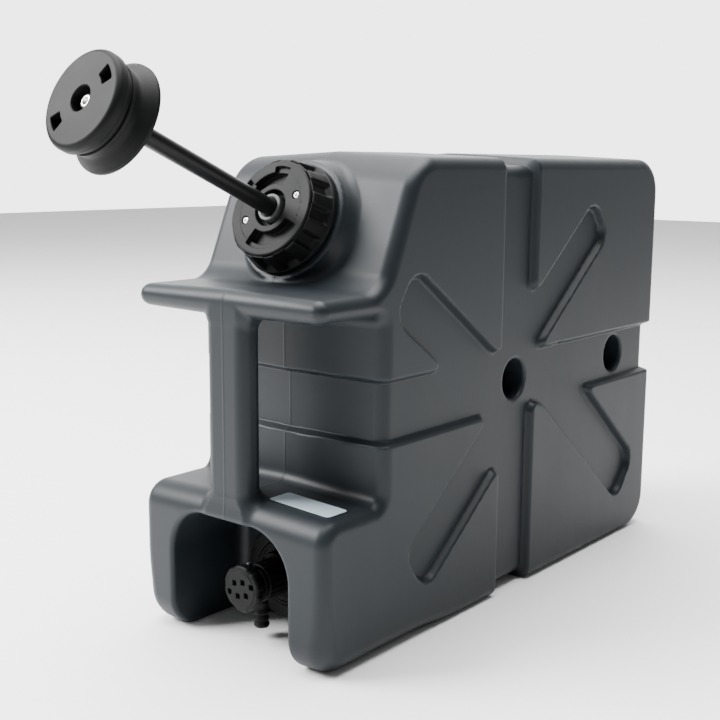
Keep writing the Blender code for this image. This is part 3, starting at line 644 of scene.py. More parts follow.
DRAFT = 0.047
LENGTH = 475.0
HEIGHT = 344.6
HALF_WIDTH = 87.5
RECESS_Y = 62.0
FOOT_TOP = 111.0
FOOT_EDGE = 17.0

# Shelf: front, middle height, half thickness on the mid-plane, and its loss for each millimetre out
SHELF_FRONT = 2.0
SHELF_MIDDLE = 244.0
SHELF_HALF = 9.6
SHELF_TAPER = 0.022

# Grip column: half width, middle and half depth in y, with its corner radius, its lower end inside
# the foot, and the fillet it flares to
COLUMN = (18.0, 12.0, 10.0)
COLUMN_EDGE = 8.0
COLUMN_LOW = 100.0
COLUMN_FLARE = 8.5

# Arch between the legs: half width, top and depth, with the radii of its corners, front and back
ARCH = (56.0, 95.0, 72.0)
ARCH_CORNER = 34.0
ARCH_EDGE = 3.2
ARCH_BACK_EDGE = 9.0
ARCH_DRAFT = 0.03

# Heights along the pump's axis, and radii; the boss has a top radius and widens towards its foot
NECK_PLANE = -32.0
BOSS = (44.5, 3.5)
BOSS_TOP = -22.6
BOSS_FILLET = 5.0
NECK_OUTER = 31.0
NECK_TOP = -10.7
NECK_ROOT = -60.0
NECK_BORE = 27.2
BORE_END = -205.0

PORT_BOSS = 30.0
PORT_BORE = 26.0
PORT_FACE = 65.5
PORT_BORE_END = 84.0
PORT_ROOT = 90.0
TIE_HOLES = ((238.0, 170.0), (404.0, 170.0))
TIE_HOLE_RADIUS = 16.0
TIE_HOLE_EDGE = 2.2

# Grooves round the moulding: middle and half width, and where the belt starts
STRAP = (234.5, 23.2)
BELT = (170.05, 21.45)
BELT_FRONT = 42.0

# Diagonal grooves on each side: outer end, inner point and width, in (y, z)
SLOTS = (
    ((89.0, 250.0), (205.0, 170.0), 40.0),
    ((362.0, 292.0), (243.0, 199.0), 38.0),
    ((104.0, 50.0), (215.0, 136.0), 41.0),
    ((427.0, 52.0), (285.0, 168.0), 47.0),
)
SLOT_END = 15.0
WEDGE_TIP = 9.0


def groove_distance(y, z):
    """Distance outside the grooves in side view: the strap and belt bands, joined with four
    round-ended bands; the raised wedge tips between them are rounded."""
    strap = np.abs(y - STRAP[0]) - STRAP[1]
    belt = np.maximum(np.abs(z - BELT[0]) - BELT[1], BELT_FRONT - y)
    pattern = merge(strap, belt, WEDGE_TIP)
    for (end_y, end_z), (inner_y, inner_z), width in SLOTS:
        size = math.dist((end_y, end_z), (inner_y, inner_z))
        along_y, along_z = (inner_y - end_y) / size, (inner_z - end_z) / size
        along = (y - end_y) * along_y + (z - end_z) * along_z
        across = np.abs((z - end_z) * along_y - (y - end_y) * along_z)
        band = np.maximum(carve(across - width / 2, -along, SLOT_END), along - size)
        pattern = merge(pattern, band, WEDGE_TIP)
    return pattern


def front_profile(slope, half, y, z):
    """The moulding's front in side view: the neck face passes into the recess wall behind the
    shelf, and both join the foot and the pill-shaped shelf, which is thinner towards its ends."""
    outward = PUMP.basis[2][1] * (y - PUMP_MM[1]) + PUMP.basis[2][2] * (z - PUMP_MM[2])
    neck = outward - NECK_PLANE + slope
    wall = RECESS_Y + slope - y
    higher = ramp((z - SHELF_MIDDLE) / 12 + 0.5)
    front = neck * higher + wall * (1 - higher)
    foot = carve(slope - y, z - FOOT_TOP + slope, FOOT_EDGE)
    front = merge(front, foot, 8.0)
    shelf = np.hypot(np.maximum(SHELF_FRONT + half - y, 0), z - SHELF_MIDDLE) - half
    return merge(front, shelf, 8.0 + 5.0 * higher)


def round_openings(body, x, y, z):
    """Raise the round boss with the pump's neck and the filter port, and cut their bores and the
    tie holes."""
    away_y, away_z = y - PUMP_MM[1], z - PUMP_MM[2]
    outward = PUMP.basis[2][1] * away_y + PUMP.basis[2][2] * away_z
    upward = PUMP.basis[1][1] * away_y + PUMP.basis[1][2] * away_z
    from_pump = np.hypot(x, upward)
    cone = from_pump - BOSS[0] - BOSS[1] * ramp((BOSS_TOP - outward) / 10)
    boss = np.maximum(carve(cone, outward - BOSS_TOP, 1.2), NECK_ROOT - outward)
    body = merge(body, boss, BOSS_FILLET)
    neck = np.maximum(np.maximum(from_pump - NECK_OUTER, outward - NECK_TOP), NECK_ROOT - outward)
    body = merge(body, neck, 1.0)
    body = carve(body, -np.maximum(from_pump - NECK_BORE, BORE_END - outward), 0.6)
    from_tap = np.hypot(x, z - TAP_MM[2])
    port = np.maximum(np.maximum(from_tap - PORT_BOSS, PORT_FACE - y), y - PORT_ROOT)
    body = merge(body, port, 2.0)
    body = carve(body, -np.maximum(from_tap - PORT_BORE, y - PORT_BORE_END), 0.6)
    for hole_y, hole_z in TIE_HOLES:
        body = carve(body, TIE_HOLE_RADIUS - np.hypot(y - hole_y, z - hole_z), TIE_HOLE_EDGE)
    return body


def tank_field(settings):
    """The moulding's outer surface as one distance field in millimetres from its front reference."""
    edge, ridge, rear = settings.edge / MM, settings.ridge / MM, settings.rear / MM
    foot, depth, fall = settings.foot / MM, settings.groove / MM, settings.groove_edge / MM

    def field(x, y, z):
        x = np.abs(x)
        slope = DRAFT * x
        body = front_profile(slope, SHELF_HALF - SHELF_TAPER * x, y, z)
        body = carve(body, z - HEIGHT + slope, ridge)
        body = carve(body, y - LENGTH + slope, rear)
        body = carve(body, -z, foot + (rear - foot) * ramp((y - 200) / 100))
        toe = ramp((60 - z) / 60) * ramp((160 - y) / 60)
        sunk = depth * ramp(0.5 - groove_distance(y, z) / fall)
        body = carve(body, x - HALF_WIDTH, edge + 7 * toe + sunk) + sunk
        post = carve(x - COLUMN[0], np.abs(y - COLUMN[1]) - COLUMN[2], COLUMN_EDGE)
        post = np.maximum(np.maximum(post, z - SHELF_MIDDLE), COLUMN_LOW - z)
        body = merge(body, post, 0.5 + COLUMN_FLARE * ramp((SHELF_MIDDLE - z) / 13))
        body = np.maximum(body, 1.8 * ramp((z - 92) / 18) - y)
        across, above = x - (ARCH[0] - ARCH_CORNER), z - (ARCH[1] - ARCH_CORNER)
        arch = np.hypot(np.maximum(across, 0), np.maximum(above, 0)) - ARCH_CORNER
        arch = arch + np.minimum(np.maximum(across, above), 0) + ARCH_DRAFT * y
        arch = carve(arch, y - ARCH[2], ARCH_BACK_EDGE)
        body = carve(body, -arch, ARCH_EDGE)
        return round_openings(body, x, y, z)

    return field


def close_open_side(mesh, field):
    """Fill a half's flat open side with triangles between its own vertices, and leave out those
    that lie outside the field, in a hole of the section."""
    work = bmesh.new()
    work.from_mesh(mesh)
    rim = [edge for edge in work.edges if edge.is_boundary]
    filled = bmesh.ops.triangle_fill(work, edges=rim, use_beauty=True)["geom"]
    lids = [item for item in filled if isinstance(item, bmesh.types.BMFace)]
    centres = np.array([lid.calc_center_median() for lid in lids])
    outside = field(*((centres - FRONT.point) / MM).T) > 0
    wrong = [lid for lid, is_outside in zip(lids, outside) if is_outside]
    bmesh.ops.delete(work, geom=wrong, context="FACES")
    bmesh.ops.recalc_face_normals(work, faces=work.faces)
    work.to_mesh(mesh)
    work.free()


def build_moulding(settings, look):
    """The tank itself, in place of its CAD solid: two closed halves that meet on the mid-plane.
    The first column of grid cells is centred there, so that its vertices lie on the plane."""
    step = settings.grid / MM
    field = tank_field(settings)
    high = (HALF_WIDTH + 2.5, LENGTH + 4.0, HEIGHT + 4.4)
    points, faces = surface_net(field, (-step / 2, -4.0, -4.0), high, step)
    points = settle(field, points, step, 4)
    points[np.abs(points[:, 0]) < 0.01 * step, 0] = 0.0
    normals = slopes(field, points, step)
    for name, side, stands_for in (("moulding_right", 1, ("tank_body",)), ("moulding_left", -1, ())):
        mirror = np.array((side, 1, 1))
        mesh = bpy.data.meshes.new(name)
        mesh.from_pydata(FRONT.world(points * mirror), [], faces[:, ::side].tolist())
        close_open_side(mesh, field)
        # The wide reach spreads the tank's painted edge highlight over the whole rounding of each edge
        finish_piece(name, mesh, FRONT.turn(normals * mirror), look, "tank", stands_for, reach=0.006)


def plate_grid(size, corner, profile):
    """A flat piece with round corners, as a grid: rows follow (inset, height) round the outline, a
    rectangle shrunk by its corner radius plus a circle; an inset of None is the middle point."""
    half = np.array(size) / 2
    angle = full_turn(64) + np.pi / 64
    circle = np.stack([np.cos(angle), np.sin(angle)], axis=1)
    rows = []
    for inset, height in profile:
        flat = 0 * circle if inset is None else np.sign(circle) * (half - corner) + circle * (corner - inset)
        rows.append(np.column_stack([flat, np.full(len(angle), height)]))
    return np.array(rows)


# How much smaller the film is than its CAD box, and its corner radius
LABEL_MARGIN = (2.0, 6.4)
LABEL_CORNER = 2.6


def build_label(look):
    """The blank label on the foot, lying on its drafted top."""
    low, high = (np.array(corner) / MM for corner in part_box("rating_label"))
    middle = (low + high) / 2
    size = (high - low)[:2] - LABEL_MARGIN
    profile = [(None, 0.0), (0.15, 0.0), (0.0, 0.1), (0.0, 0.45), (0.15, 0.55), (0.6, 0.58), (None, 0.58)]
    grid = plate_grid(size, LABEL_CORNER, profile)
    height = middle[2] - 0.3 - DRAFT * grid[..., 0] + grid[..., 2]
    forward = LABEL_MARGIN[1] / 2
    points = np.stack([grid[..., 0] + middle[0], grid[..., 1] + middle[1] - forward, height], axis=-1)
    carried("blank_label", points * MM, look, "tank", ("rating_label",))


# ---------------------------------------------------------------- pump, in millimetres along its axis

LUG_START = 72
LUG_SPAN = 20
LUG_LENGTH = 4.5
SCREW_PLACES = (26, 206)
SCREW_CIRCLE = 22.5
SCREW_WELL = 3.0
HANDLE_REAR = 138.5
HANDLE_FRONT = 168.5
WINDOWS = (40, 220)
WINDOW_SPAN = 26

# Face plate: radius and thickness of the disc, the spigot and the well, and the bush's hole
FACE = (34.7, 3.2)
SPIGOT = (26.6, 7.6)
WELL = (13.2, 6.4)
BUSH_HOLE = 10.2

# Pockets in the pump's face: inner and outer radius, start angle, span and floor
LUG_POCKETS = (
    (17.3, 26.0, 71, 80, -5.8),
    (22.0, 30.2, 73, 27, -2.6),
    (22.0, 32.6, 142, 9, -2.6),
    (17.5, 26.2, -118, 96, -5.8),
    (22.0, 29.6, -118, 96, -2.6),
)

# A button-head screw: radius and height as shares of the head's, on its dome and in its socket
SCREW_DOME = (
    (0.0, -0.9), (0.98, -0.9), (1.0, -0.86), (1.0, -0.5), (0.97, -0.3), (0.9, -0.18), (0.8, -0.08),
    (0.68, -0.02),
)
SCREW_SOCKET = ((0.60, 0.0), (0.55, -0.02), (0.53, -0.06), (0.53, -0.7), (0.5, -0.74), (0.0, -0.76))


def place_on(place, angle, distance, height=0.0):
    """A place beside another, at an angle in degrees and a distance from its axis."""
    turn = math.radians(angle)
    local = np.array((distance * math.cos(turn), distance * math.sin(turn), height))
    return Place(place.world(local), place.basis[2])


def face_plate_field(x, y, s):
    """The pump's face: a disc with a well round the rod's bush, and two curved pockets for the
    handle's lugs, deep inside and shallow towards the rim; one has a notch at each end."""
    distance = np.hypot(x, y)
    disc = carve(carve(distance - FACE[0], s, 1.3), -FACE[1] - s, 0.5)
    spigot = np.maximum(np.maximum(distance - SPIGOT[0], s), -SPIGOT[1] - s)
    plate = merge(disc, spigot, 0.5)
    plate = carve(plate, -carve(distance - WELL[0], -WELL[1] - s, 0.8), 0.6)
    plate = carve(plate, BUSH_HOLE - distance, 0.4)
    for inner, outer, first, span, floor in LUG_POCKETS:
        pocket = carve(in_sector(x, y, inner, outer, first, span, 0.9), floor - s, 0.5)
        plate = carve(plate, -pocket, 0.45)
    for angle in SCREW_PLACES:
        turn = math.radians(angle)
        beside = np.hypot(x - SCREW_CIRCLE * math.cos(turn), y - SCREW_CIRCLE * math.sin(turn))
        plate = carve(plate, -np.maximum(beside - SCREW_WELL, -SCREW_WELL - s), 0.35)
    return plate


def socket_screw(name, place, head, height, look, body, node):
    """A button-head screw: a turned dome whose socket's radius follows a hexagon, the flat radius
    divided by the cosine of the angle from the nearest flat."""
    angle = full_turn(72)
    off_flat = np.mod(angle, np.pi / 3) - np.pi / 6
    hexagon = np.cos(np.pi / 6) / np.cos(off_flat)
    rows = [(*point, 0.0) for point in SCREW_DOME] + [(*point, 1.0) for point in SCREW_SOCKET]
    radius, level, six = (np.array(column)[:, None] for column in zip(*rows))
    grid = swept(head * radius * (1 + six * (hexagon - 1)), level * height, angle)
    carried(name, place.world(grid), look, body, (node,))


def build_pump_face(settings, looks):
    """Face plate, screws and bush of the pump."""
    black, grey, steel = looks["black_plastic"], looks["grey_plastic"], looks["stainless"]
    from_field(
        "pump_face", face_plate_field, (-36, -36, -8.8), (36, 36, 1.6), settings.grid / MM, PUMP, black,
        "pump", ("face_plate",), 42000,
    )
    for number, angle in enumerate(SCREW_PLACES, 1):
        place = place_on(PUMP, angle, SCREW_CIRCLE, -0.25)
        socket_screw(f"face_screw_head_{number}", place, 2.7, 2.4, steel, "pump", f"face_screw_{number}")
    turned(
        "bush_collar",
        [
            (6.35, -14.2, 0), (9.8, -14.2, 0.4), (9.8, 1.5, 0.7), (7.6, 1.5, 0.4), (7.2, 0.9, 0.2),
            (6.35, 0.5, 0.3),
        ],
        PUMP, grey, "pump", ("rod_bush",),
    )


def build_lock_ring(settings, look):
    """The lock ring: a softened cone whose radius dips in broad flutes.  The dip is the flute depth
    times a smooth step of the cosine of the angle times the number of flutes, and fades out before
    the rear rim."""
    corners = [
        (32.4, -21.6, 0.3), (40.6, -21.6, 0.5), (41.0, -20.2, 0.6), (40.6, -18.4, 0.6), (39.9, -18.0, 0.5),
        (36.7, -2.4, 1.6), (35.3, -1.2, 0.4), (35.3, -3.5, 0.2), (27.6, -3.5, 0.2), (27.6, -5.8, 0.3),
        (32.4, -5.8, 0.4),
    ]
    profile = softened(corners)
    flank = (profile[:, 0] > 36.0) & (profile[:, 1] > -18.2) & (profile[:, 1] < -1.9)
    first, last = np.flatnonzero(flank)[[0, -1]]
    longest = np.argmax(np.hypot(*np.diff(profile[first:last + 1], axis=0).T)) + first
    share = np.linspace(0, 1, 18)[1:-1, None]
    extra = profile[longest] * (1 - share) + profile[longest + 1] * share
    profile = np.vstack([profile[:longest + 1], extra, profile[longest + 1:]])
    angle = full_turn(288)
    wave = ramp((np.cos(settings.flutes * angle) + 0.35) / 0.9)
    radius, height = profile[:, :1], profile[:, 1:]
    fade = ramp((height + 18.3) / 2.5) * (radius > 35.6)
    radius = radius - settings.flute_depth / MM * wave * fade
    grid = PUMP.world(swept(radius, height, angle))
    carried("lock_ring_fluted", grid, look, "pump_lock_ring", ("lock_ring",), closed=True)


def handle_face_field(x, y, s):
    """The knob's front disc: a soft rim, a counterbore for the screw and two windows."""
    distance = np.hypot(x, y)
    disc = carve(carve(distance - 31.7, s - HANDLE_FRONT, 3.8), 160.0 - s, 1.4)
    disc = carve(disc, 8.0 - distance, 0.8)
    for angle in WINDOWS:
        disc = carve(disc, -in_sector(x, y, 17.4, 25.4, angle - WINDOW_SPAN / 2, WINDOW_SPAN, 0.8), 0.5)
    return disc


def lug_field(x, y, s):
    """The two lugs behind the knob that lock into the pockets of the face."""
    lugs = [in_sector(x, y, 18.6, 24.4, LUG_START + half, LUG_SPAN, 1.2) for half in (0, 180)]
    ends = carve(np.minimum(*lugs), HANDLE_REAR - LUG_LENGTH - s, 0.8)
    return carve(ends, s - HANDLE_REAR + 0.2, 0.1)


def build_handle(settings, looks):
    """Rod and reel-shaped knob, with its screw and washer."""
    black, rod, steel = looks["black_plastic"], looks["rod_black"], looks["stainless"]
    radius = settings.rod / MM
    turned(
        "drawn_rod",
        [
            (0, -44, 0), (4, -44, 0.5), (4, -25.7, 0), (radius, -25.7, 0.6), (radius, 158, 0.4),
            (2.8, 158, 0.2), (2.8, 142, 0.2), (0, 142, 0),
        ],
        PUMP, rod, "handle", ("pump_rod",), closed=False, around=72,
    )
    turned(
        "knob_reel",
        [
            (radius + 0.3, 142.5, 0.2), (11.5, 142.5, 0.4), (11.5, HANDLE_REAR, 0.6),
            (33.4, HANDLE_REAR, 0.8), (35.3, 139.6, 0.8), (35.2, 141.6, 0.9), (32.2, 145.0, 4.0),
            (28.6, 148.6, 5.0), (28.0, 152.2, 0.8), (28.0, 153.2, 0.5), (29.9, 153.6, 0.5),
            (29.9, 155.4, 0.5), (28.3, 155.9, 0.5), (28.3, 157.0, 0.5), (29.6, 157.4, 0.5),
            (29.6, 159.6, 0.6), (radius + 0.3, 159.6, 0.3),
        ],
        PUMP, black, "handle", ("handle_reel",), around=128,
    )
    from_field(
        "knob_lugs", lug_field, (-26, -26, HANDLE_REAR - 6), (26, 26, HANDLE_REAR + 2), 0.6, PUMP, black,
        "handle", (), 6000,
    )
    from_field(
        "knob_face", handle_face_field, (-33, -33, 158.6), (33, 33, 170), settings.grid / MM, PUMP, black,
        "handle", ("handle_face",), 36000,
    )
    turned(
        "screw_washer", [(2.9, 160.0, 0.1), (7.4, 160.0, 0.3), (7.4, 161.2, 0.4), (2.9, 161.2, 0.2)],
        PUMP, steel, "handle", ("handle_washer",),
    )
    place = place_on(PUMP, 0, 0, 164.9)
    socket_screw("knob_screw", place, 5.0, 3.6, steel, "handle", "handle_screw")


# ---------------------------------------------------------------- filter and tap, along the tap's axis

# Three of the knob's pockets, across and up; the other three are opposite.  Each has a half width,
# a half height and a depth
KNOB_POCKETS = ((-5.6, 3.5), (2.4, 5.4), (10.6, 3.8))
KNOB_POCKET = (1.9, 2.0, 3.2)
KNOB_RADIUS = 17.0
SPOUT_LOW = 8.0


def ribbed(name, corners, place, ribs, depth, span, look, body, stands_for):
    """A turned profile with ribs: within a span of heights the radius of its outer points dips by
    the depth, times a smooth step of the cosine of the angle times the number of ribs."""
    profile = softened(corners)
    angle = full_turn(192)
    radius, height = profile[:, :1], profile[:, 1:]
    outer = radius > radius.max() - 2.2 * depth
    between = (height > span[0]) & (height < span[1]) & outer
    wave = ramp(np.cos(ribs * angle) / 0.7)
    grid = swept(radius - depth * wave * between, height, angle)
    carried(name, place.world(grid), look, body, stands_for, closed=True)


def tap_knob_field(x, y, s):
    """The tap's knob: a soft-edged disc with a raised middle, two rows of three square pockets and
    finger dips round its rim, on a hollow stem."""
    distance = np.hypot(x, y)
    angle = np.arctan2(y, x)
    rim = KNOB_RADIUS - 0.7 * ramp((np.cos(6 * angle) - 0.35) / 0.6)
    disc = carve(carve(distance - rim, s + 0.5, 2.2), -6.2 - s, 0.6)
    middle = carve(distance - 13.6, s, 0.8)
    knob = merge(disc, np.maximum(middle, -3.0 - s), 0.5)
    stem = np.maximum(np.maximum(distance - 12.6, -12.7 - s), s + 4.0)
    knob = merge(knob, stem, 0.8)
    knob = carve(knob, -np.maximum(distance - 3.3, s + 3.5), 0.3)
    for pocket_x, pocket_y in KNOB_POCKETS:
        for side in (1, -1):
            across, up = np.abs(x - side * pocket_x), np.abs(y - side * pocket_y)
            pocket = carve(across - KNOB_POCKET[0], up - KNOB_POCKET[1], 0.5)
            knob = carve(knob, -np.maximum(pocket, -KNOB_POCKET[2] - s), 0.35)
    return knob


def build_filter(settings, looks):
    """Filter plate and the ribbed ring that clamps it on the port."""
    black = looks["black_plastic"]
    turned(
        "filter_cap",
        [
            (9.4, -58, 0.3), (25.4, -58, 0.5), (25.4, -47.2, 0.3), (29.8, -47.2, 0.4), (29.8, -45.0, 0.5),
            (23.6, -45.0, 0.3), (23.6, -42.4, 0.9), (21.2, -42.4, 0.4), (21.0, -43.2, 0.4), (9.4, -43.2, 0.3),
        ],
        TAP, black, "filter_unit", ("filter_plate",),
    )
    ribbed(
        "filter_ring_ribbed",
        [
            (31.2, -55, 0.3), (34.0, -55, 0.6), (34.0, -44.4, 1.2), (32.6, -43, 0.8), (24.2, -43, 0.5),
            (24.2, -44.7, 0.2), (31.2, -44.7, 0.2),
        ],
        TAP, settings.ribs, 1.3, (-55.5, -43.1), black, "filter_lock_ring", ("filter_ring",),
    )


def build_tap(settings, looks):
    """Tap body, nut, barbed spout, knob and pointer."""
    black, grey = looks["black_plastic"], looks["grey_plastic"]
    ribbed(
        "tap_barrel",
        [
            (3.0, -60, 0.3), (9.1, -60, 0.4), (9.1, -36.2, 0.4), (12.4, -35.8, 0.4), (14.0, -34.0, 0.6),
            (14.0, -17.2, 0.4), (13.2, -16.8, 0.3), (13.2, -14.0, 0.3), (13.8, -13.2, 0.2), (8.1, -13.2, 0.3),
            (8.1, -35, 0.3), (3.0, -35, 0.3),
        ],
        TAP, 20, 0.6, (-33.6, -17.3), black, "filter_unit", ("tap_body",),
    )
    ribbed(
        "tap_lock_nut",
        [(9.4, -42.2, 0.3), (17.5, -42.2, 0.6), (17.5, -38.2, 0.5), (16.6, -36.4, 0.8), (9.4, -36.4, 0.3)],
        TAP, 8, 1.1, (-42.5, -36.2), black, "filter_unit", ("tap_nut",),
    )
    low = SPOUT_LOW - TAP_MM[2]
    turned(
        "barbed_spout",
        [
            (2.4, low, 0.3), (4.9, low, 0.4), (5.7, low + 1.6, 0.25), (4.5, low + 4.6, 0.2),
            (5.7, low + 6.2, 0.25), (4.5, low + 9.4, 0.2), (5.7, low + 11.0, 0.25),
            (4.6, low + 14.0, 0.3), (4.6, -14.6, 0.3), (3.5, -14.6, 0.1), (3.5, -9.0, 0.2),
            (2.4, -9.0, 0.2),
        ],
        SPOUT, black, "filter_unit", ("hose_spout",), around=64,
    )
    from_field(
        "tap_knob_round", tap_knob_field, (-18, -18, -14), (18, 18, 1.2), settings.knob_grid / MM, TAP, black,
        "tap_handle", ("tap_knob",), 30000,
    )
    low_corner, high_corner = (np.array(corner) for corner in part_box("knob_pointer"))
    centre = (low_corner + high_corner) / 2
    size = (high_corner - low_corner) / MM
    profile = [(None, -0.5), (0.5, -0.5), (0.0, -0.4), (0.0, 0.3), (0.5, 0.5), (None, 0.5)]
    grid = plate_grid(size[:2], 1.1, profile) * (1, 1, size[2])
    carried("pointer_nub", centre + grid * MM, grey, "tap_handle", ("knob_pointer",))


# ---------------------------------------------------------------- stage

CAMERA_AZIMUTH = 39.25
CAMERA_ELEVATION = 9.784
CAMERA_ROLL = 0.365
CAMERA_LENS = 57.147
CAMERA_PLACE = (545.36, -520.94, 336.27)

# The surroundings are bright behind the tank on the left: the direction, the cosines over which
# the light rises, and the light away from it and in it
BRIGHT_SIDE = (-0.63, 0.77, 0.0)
BRIGHT_SPREAD = (0.5, 0.9)
WORLD_LIGHT = (0.25, 4.0)
FLOOR_HALF = 6.0


def build_camera():
    """A camera at the given place: its axes are right, up and backwards, turned by the roll."""
    azimuth, elevation, roll = (math.radians(a) for a in (CAMERA_AZIMUTH, CAMERA_ELEVATION, CAMERA_ROLL))
    flat = math.cos(elevation)
    back = Vector((math.sin(azimuth) * flat, -math.cos(azimuth) * flat, math.sin(elevation)))
    right = (-back).cross(Vector((0, 0, 1))).normalized()
    up = right.cross(-back).normalized()
    turned_right = right * math.cos(roll) + up * math.sin(roll)
    turned_up = up * math.cos(roll) - right * math.sin(roll)
    camera = bpy.data.objects.new("studio_camera", bpy.data.cameras.new("studio_camera"))
    camera.data.lens = CAMERA_LENS
    camera.data.sensor_width = 36.0
    camera.data.clip_start = 0.02
    rotation = Matrix((turned_right, turned_up, back)).transposed()
    place = Vector(FRONT.world(np.array(CAMERA_PLACE)))
    camera.matrix_world = Matrix.Translation(place) @ rotation.to_4x4()
    bpy.context.scene.collection.objects.link(camera)
    bpy.context.scene.camera = camera


def soft_light(name, place, aim, size, power):
    """A large square light that faces a point."""
    light = bpy.data.lights.new(name, "AREA")
    light.shape = "SQUARE"
    light.size = size
    light.energy = power
    lamp = bpy.data.objects.new(name, light)
    lamp.location = place
    lamp.rotation_euler = (Vector(aim) - Vector(place)).to_track_quat("-Z", "Y").to_euler()
    bpy.context.scene.collection.objects.link(lamp)


def build_world():
    """Surroundings that light the tank from the bright side, and look evenly pale to the camera."""
    world = bpy.data.worlds.new("studio_world")
    world.use_nodes = True
    nodes, links = world.node_tree.nodes, world.node_tree.links
    towards = nodes.new("ShaderNodeVectorMath")
    towards.operation = "DOT_PRODUCT"
    links.new(nodes.new("ShaderNodeTexCoord").outputs["Generated"], towards.inputs[0])
    towards.inputs[1].default_value = BRIGHT_SIDE
    spread = nodes.new("ShaderNodeMapRange")
    ends = dict(zip(("From Min", "From Max", "To Min", "To Max"), BRIGHT_SPREAD + WORLD_LIGHT))
    for socket, value in ends.items():
        spread.inputs[socket].default_value = value
    links.new(towards.outputs["Value"], spread.inputs["Value"])
    seen = nodes.new("ShaderNodeMix")
    seen.inputs["B"].default_value = WORLD_LIGHT[1]
    links.new(nodes.new("ShaderNodeLightPath").outputs["Is Camera Ray"], seen.inputs["Factor"])
    links.new(spread.outputs["Result"], seen.inputs["A"])
    background = nodes["Background"].inputs
    links.new(seen.outputs["Result"], background["Strength"])
    background["Color"].default_value = (1.0, 1.0, 1.0, 1.0)
    bpy.context.scene.world = world


def build_studio():
    """Pale floor, surroundings and two soft lights."""
    corners = [(x * FLOOR_HALF, y * FLOOR_HALF, 0.0) for x, y in ((-1, -1), (1, -1), (1, 1), (-1, 1))]
    mesh = bpy.data.meshes.new("studio_floor")
    mesh.from_pydata(corners, [], [(0, 1, 2, 3)])
    mesh.materials.append(studio_floor())
    floor = bpy.data.objects.new("studio_floor", mesh)
    bpy.context.scene.collection.objects.link(floor)
    build_world()
    soft_light("key_light", (-1.6, -1.5, 1.8), (0, 0, 0.2), 1.3, 205)
    soft_light("top_light", (-0.3, 0.1, 2.6), (0, 0, 0), 2.4, 230)


# ---------------------------------------------------------------- operators and panel


MAKERS = {
    "tank_plastic": moulded_tank,
    "black_plastic": moulded_black,
    "rod_black": sliding_black,
    "black_rubber": seal_rubber,
    "grey_plastic": bearing_grey,
    "stainless": bright_steel,
    "filter_white": filter_fibre,
    "label_white": printed_film,
}


def looks_of(context):
    """Every material, made once from the colour settings."""
    if "tank_plastic_look" not in context.scene:
        settings = context.scene.tank_finish
        for name, maker in MAKERS.items():
            context.scene[name + "_look"] = maker(settings)
    return {name: context.scene[name + "_look"] for name in MAKERS}


class WATERTANK_OT_camera_and_stage(bpy.types.Operator):
    """Set up the camera, the pale floor and the lights"""

    bl_idname = "watertank.camera_and_stage"
    bl_label = "Camera and stage"

    def execute(self, context):
        build_camera()
        build_studio()
        return {"FINISHED"}


class WATERTANK_OT_inner_parts(bpy.types.Operator):
    """Give every CAD part its finish"""

    bl_idname = "watertank.inner_parts"
    bl_label = "Finish of the CAD parts"

    def execute(self, context):
        looks = looks_of(context)
        for part in frame["record"]["subparts"]:
            node = frame["nodes"][part["node"]]
            node.data.materials.clear()
            node.data.materials.append(looks[part["material_slot"]])
        return {"FINISHED"}


class WATERTANK_OT_moulding(bpy.types.Operator):
    """Build the tank's moulding and its label"""

    bl_idname = "watertank.moulding"
    bl_label = "Moulding"

    def execute(self, context):
        looks = looks_of(context)
        build_moulding(context.scene.tank_sizes, looks["tank_plastic"])
        build_label(looks["label_white"])
        return {"FINISHED"}


class WATERTANK_OT_pump(bpy.types.Operator):
    """Build the pump's face, its screws, the rod's bush and the lock ring"""

    bl_idname = "watertank.pump"
    bl_label = "Pump"

    def execute(self, context):
        looks = looks_of(context)
        build_pump_face(context.scene.pump_sizes, looks)
        build_lock_ring(context.scene.pump_sizes, looks["black_plastic"])
        return {"FINISHED"}


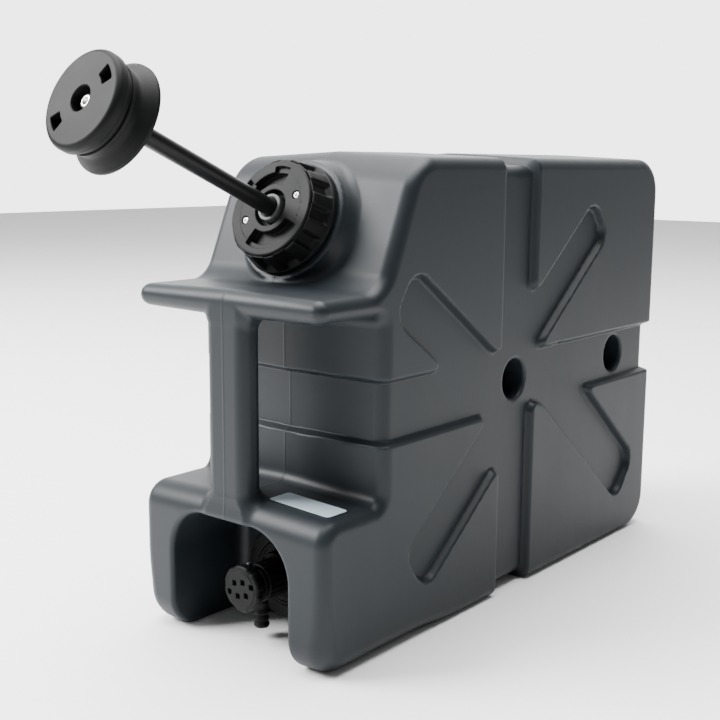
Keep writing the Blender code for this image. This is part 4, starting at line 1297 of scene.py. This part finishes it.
class WATERTANK_OT_handle(bpy.types.Operator):
    """Build the rod and its reel-shaped knob"""

    bl_idname = "watertank.handle"
    bl_label = "Handle"

    def execute(self, context):
        build_handle(context.scene.pump_sizes, looks_of(context))
        return {"FINISHED"}


class WATERTANK_OT_filter_and_tap(bpy.types.Operator):
    """Build the filter's cap and ring, the tap and its spout"""

    bl_idname = "watertank.filter_and_tap"
    bl_label = "Filter and tap"

    def execute(self, context):
        looks = looks_of(context)
        build_filter(context.scene.tap_sizes, looks)
        build_tap(context.scene.tap_sizes, looks)
        return {"FINISHED"}


class VIEW3D_PT_water_tank(bpy.types.Panel):
    """Buttons and settings for the water tank"""

    bl_label = "Water tank"
    bl_idname = "VIEW3D_PT_water_tank"
    bl_space_type = "VIEW_3D"
    bl_region_type = "UI"
    bl_category = "Water tank"

    def draw(self, context):
        for name, (group, title) in SETTINGS.items():
            box = self.layout.box()
            box.label(text=title)
            for field in group.__annotations__:
                box.prop(getattr(context.scene, name), field)
        for operator in OPERATORS:
            self.layout.operator(operator.bl_idname)


SETTINGS = {
    "tank_sizes": (TankSettings, "Moulding"),
    "pump_sizes": (PumpSettings, "Pump"),
    "tap_sizes": (TapSettings, "Filter and tap"),
    "tank_finish": (FinishSettings, "Colours"),
}
OPERATORS = (
    WATERTANK_OT_camera_and_stage,
    WATERTANK_OT_inner_parts,
    WATERTANK_OT_moulding,
    WATERTANK_OT_pump,
    WATERTANK_OT_handle,
    WATERTANK_OT_filter_and_tap,
)


def register():
    for name, (group, _) in SETTINGS.items():
        bpy.utils.register_class(group)
        setattr(bpy.types.Scene, name, PointerProperty(type=group))
    for item in (*OPERATORS, VIEW3D_PT_water_tank):
        bpy.utils.register_class(item)


def unregister():
    for item in (VIEW3D_PT_water_tank, *reversed(OPERATORS)):
        bpy.utils.unregister_class(item)
    for name, (group, _) in SETTINGS.items():
        delattr(bpy.types.Scene, name)
        bpy.utils.unregister_class(group)


def main():
    register()
    for operator in OPERATORS:
        category, name = operator.bl_idname.split(".")
        getattr(getattr(bpy.ops, category), name)()


if __name__ == "__main__":
    main()
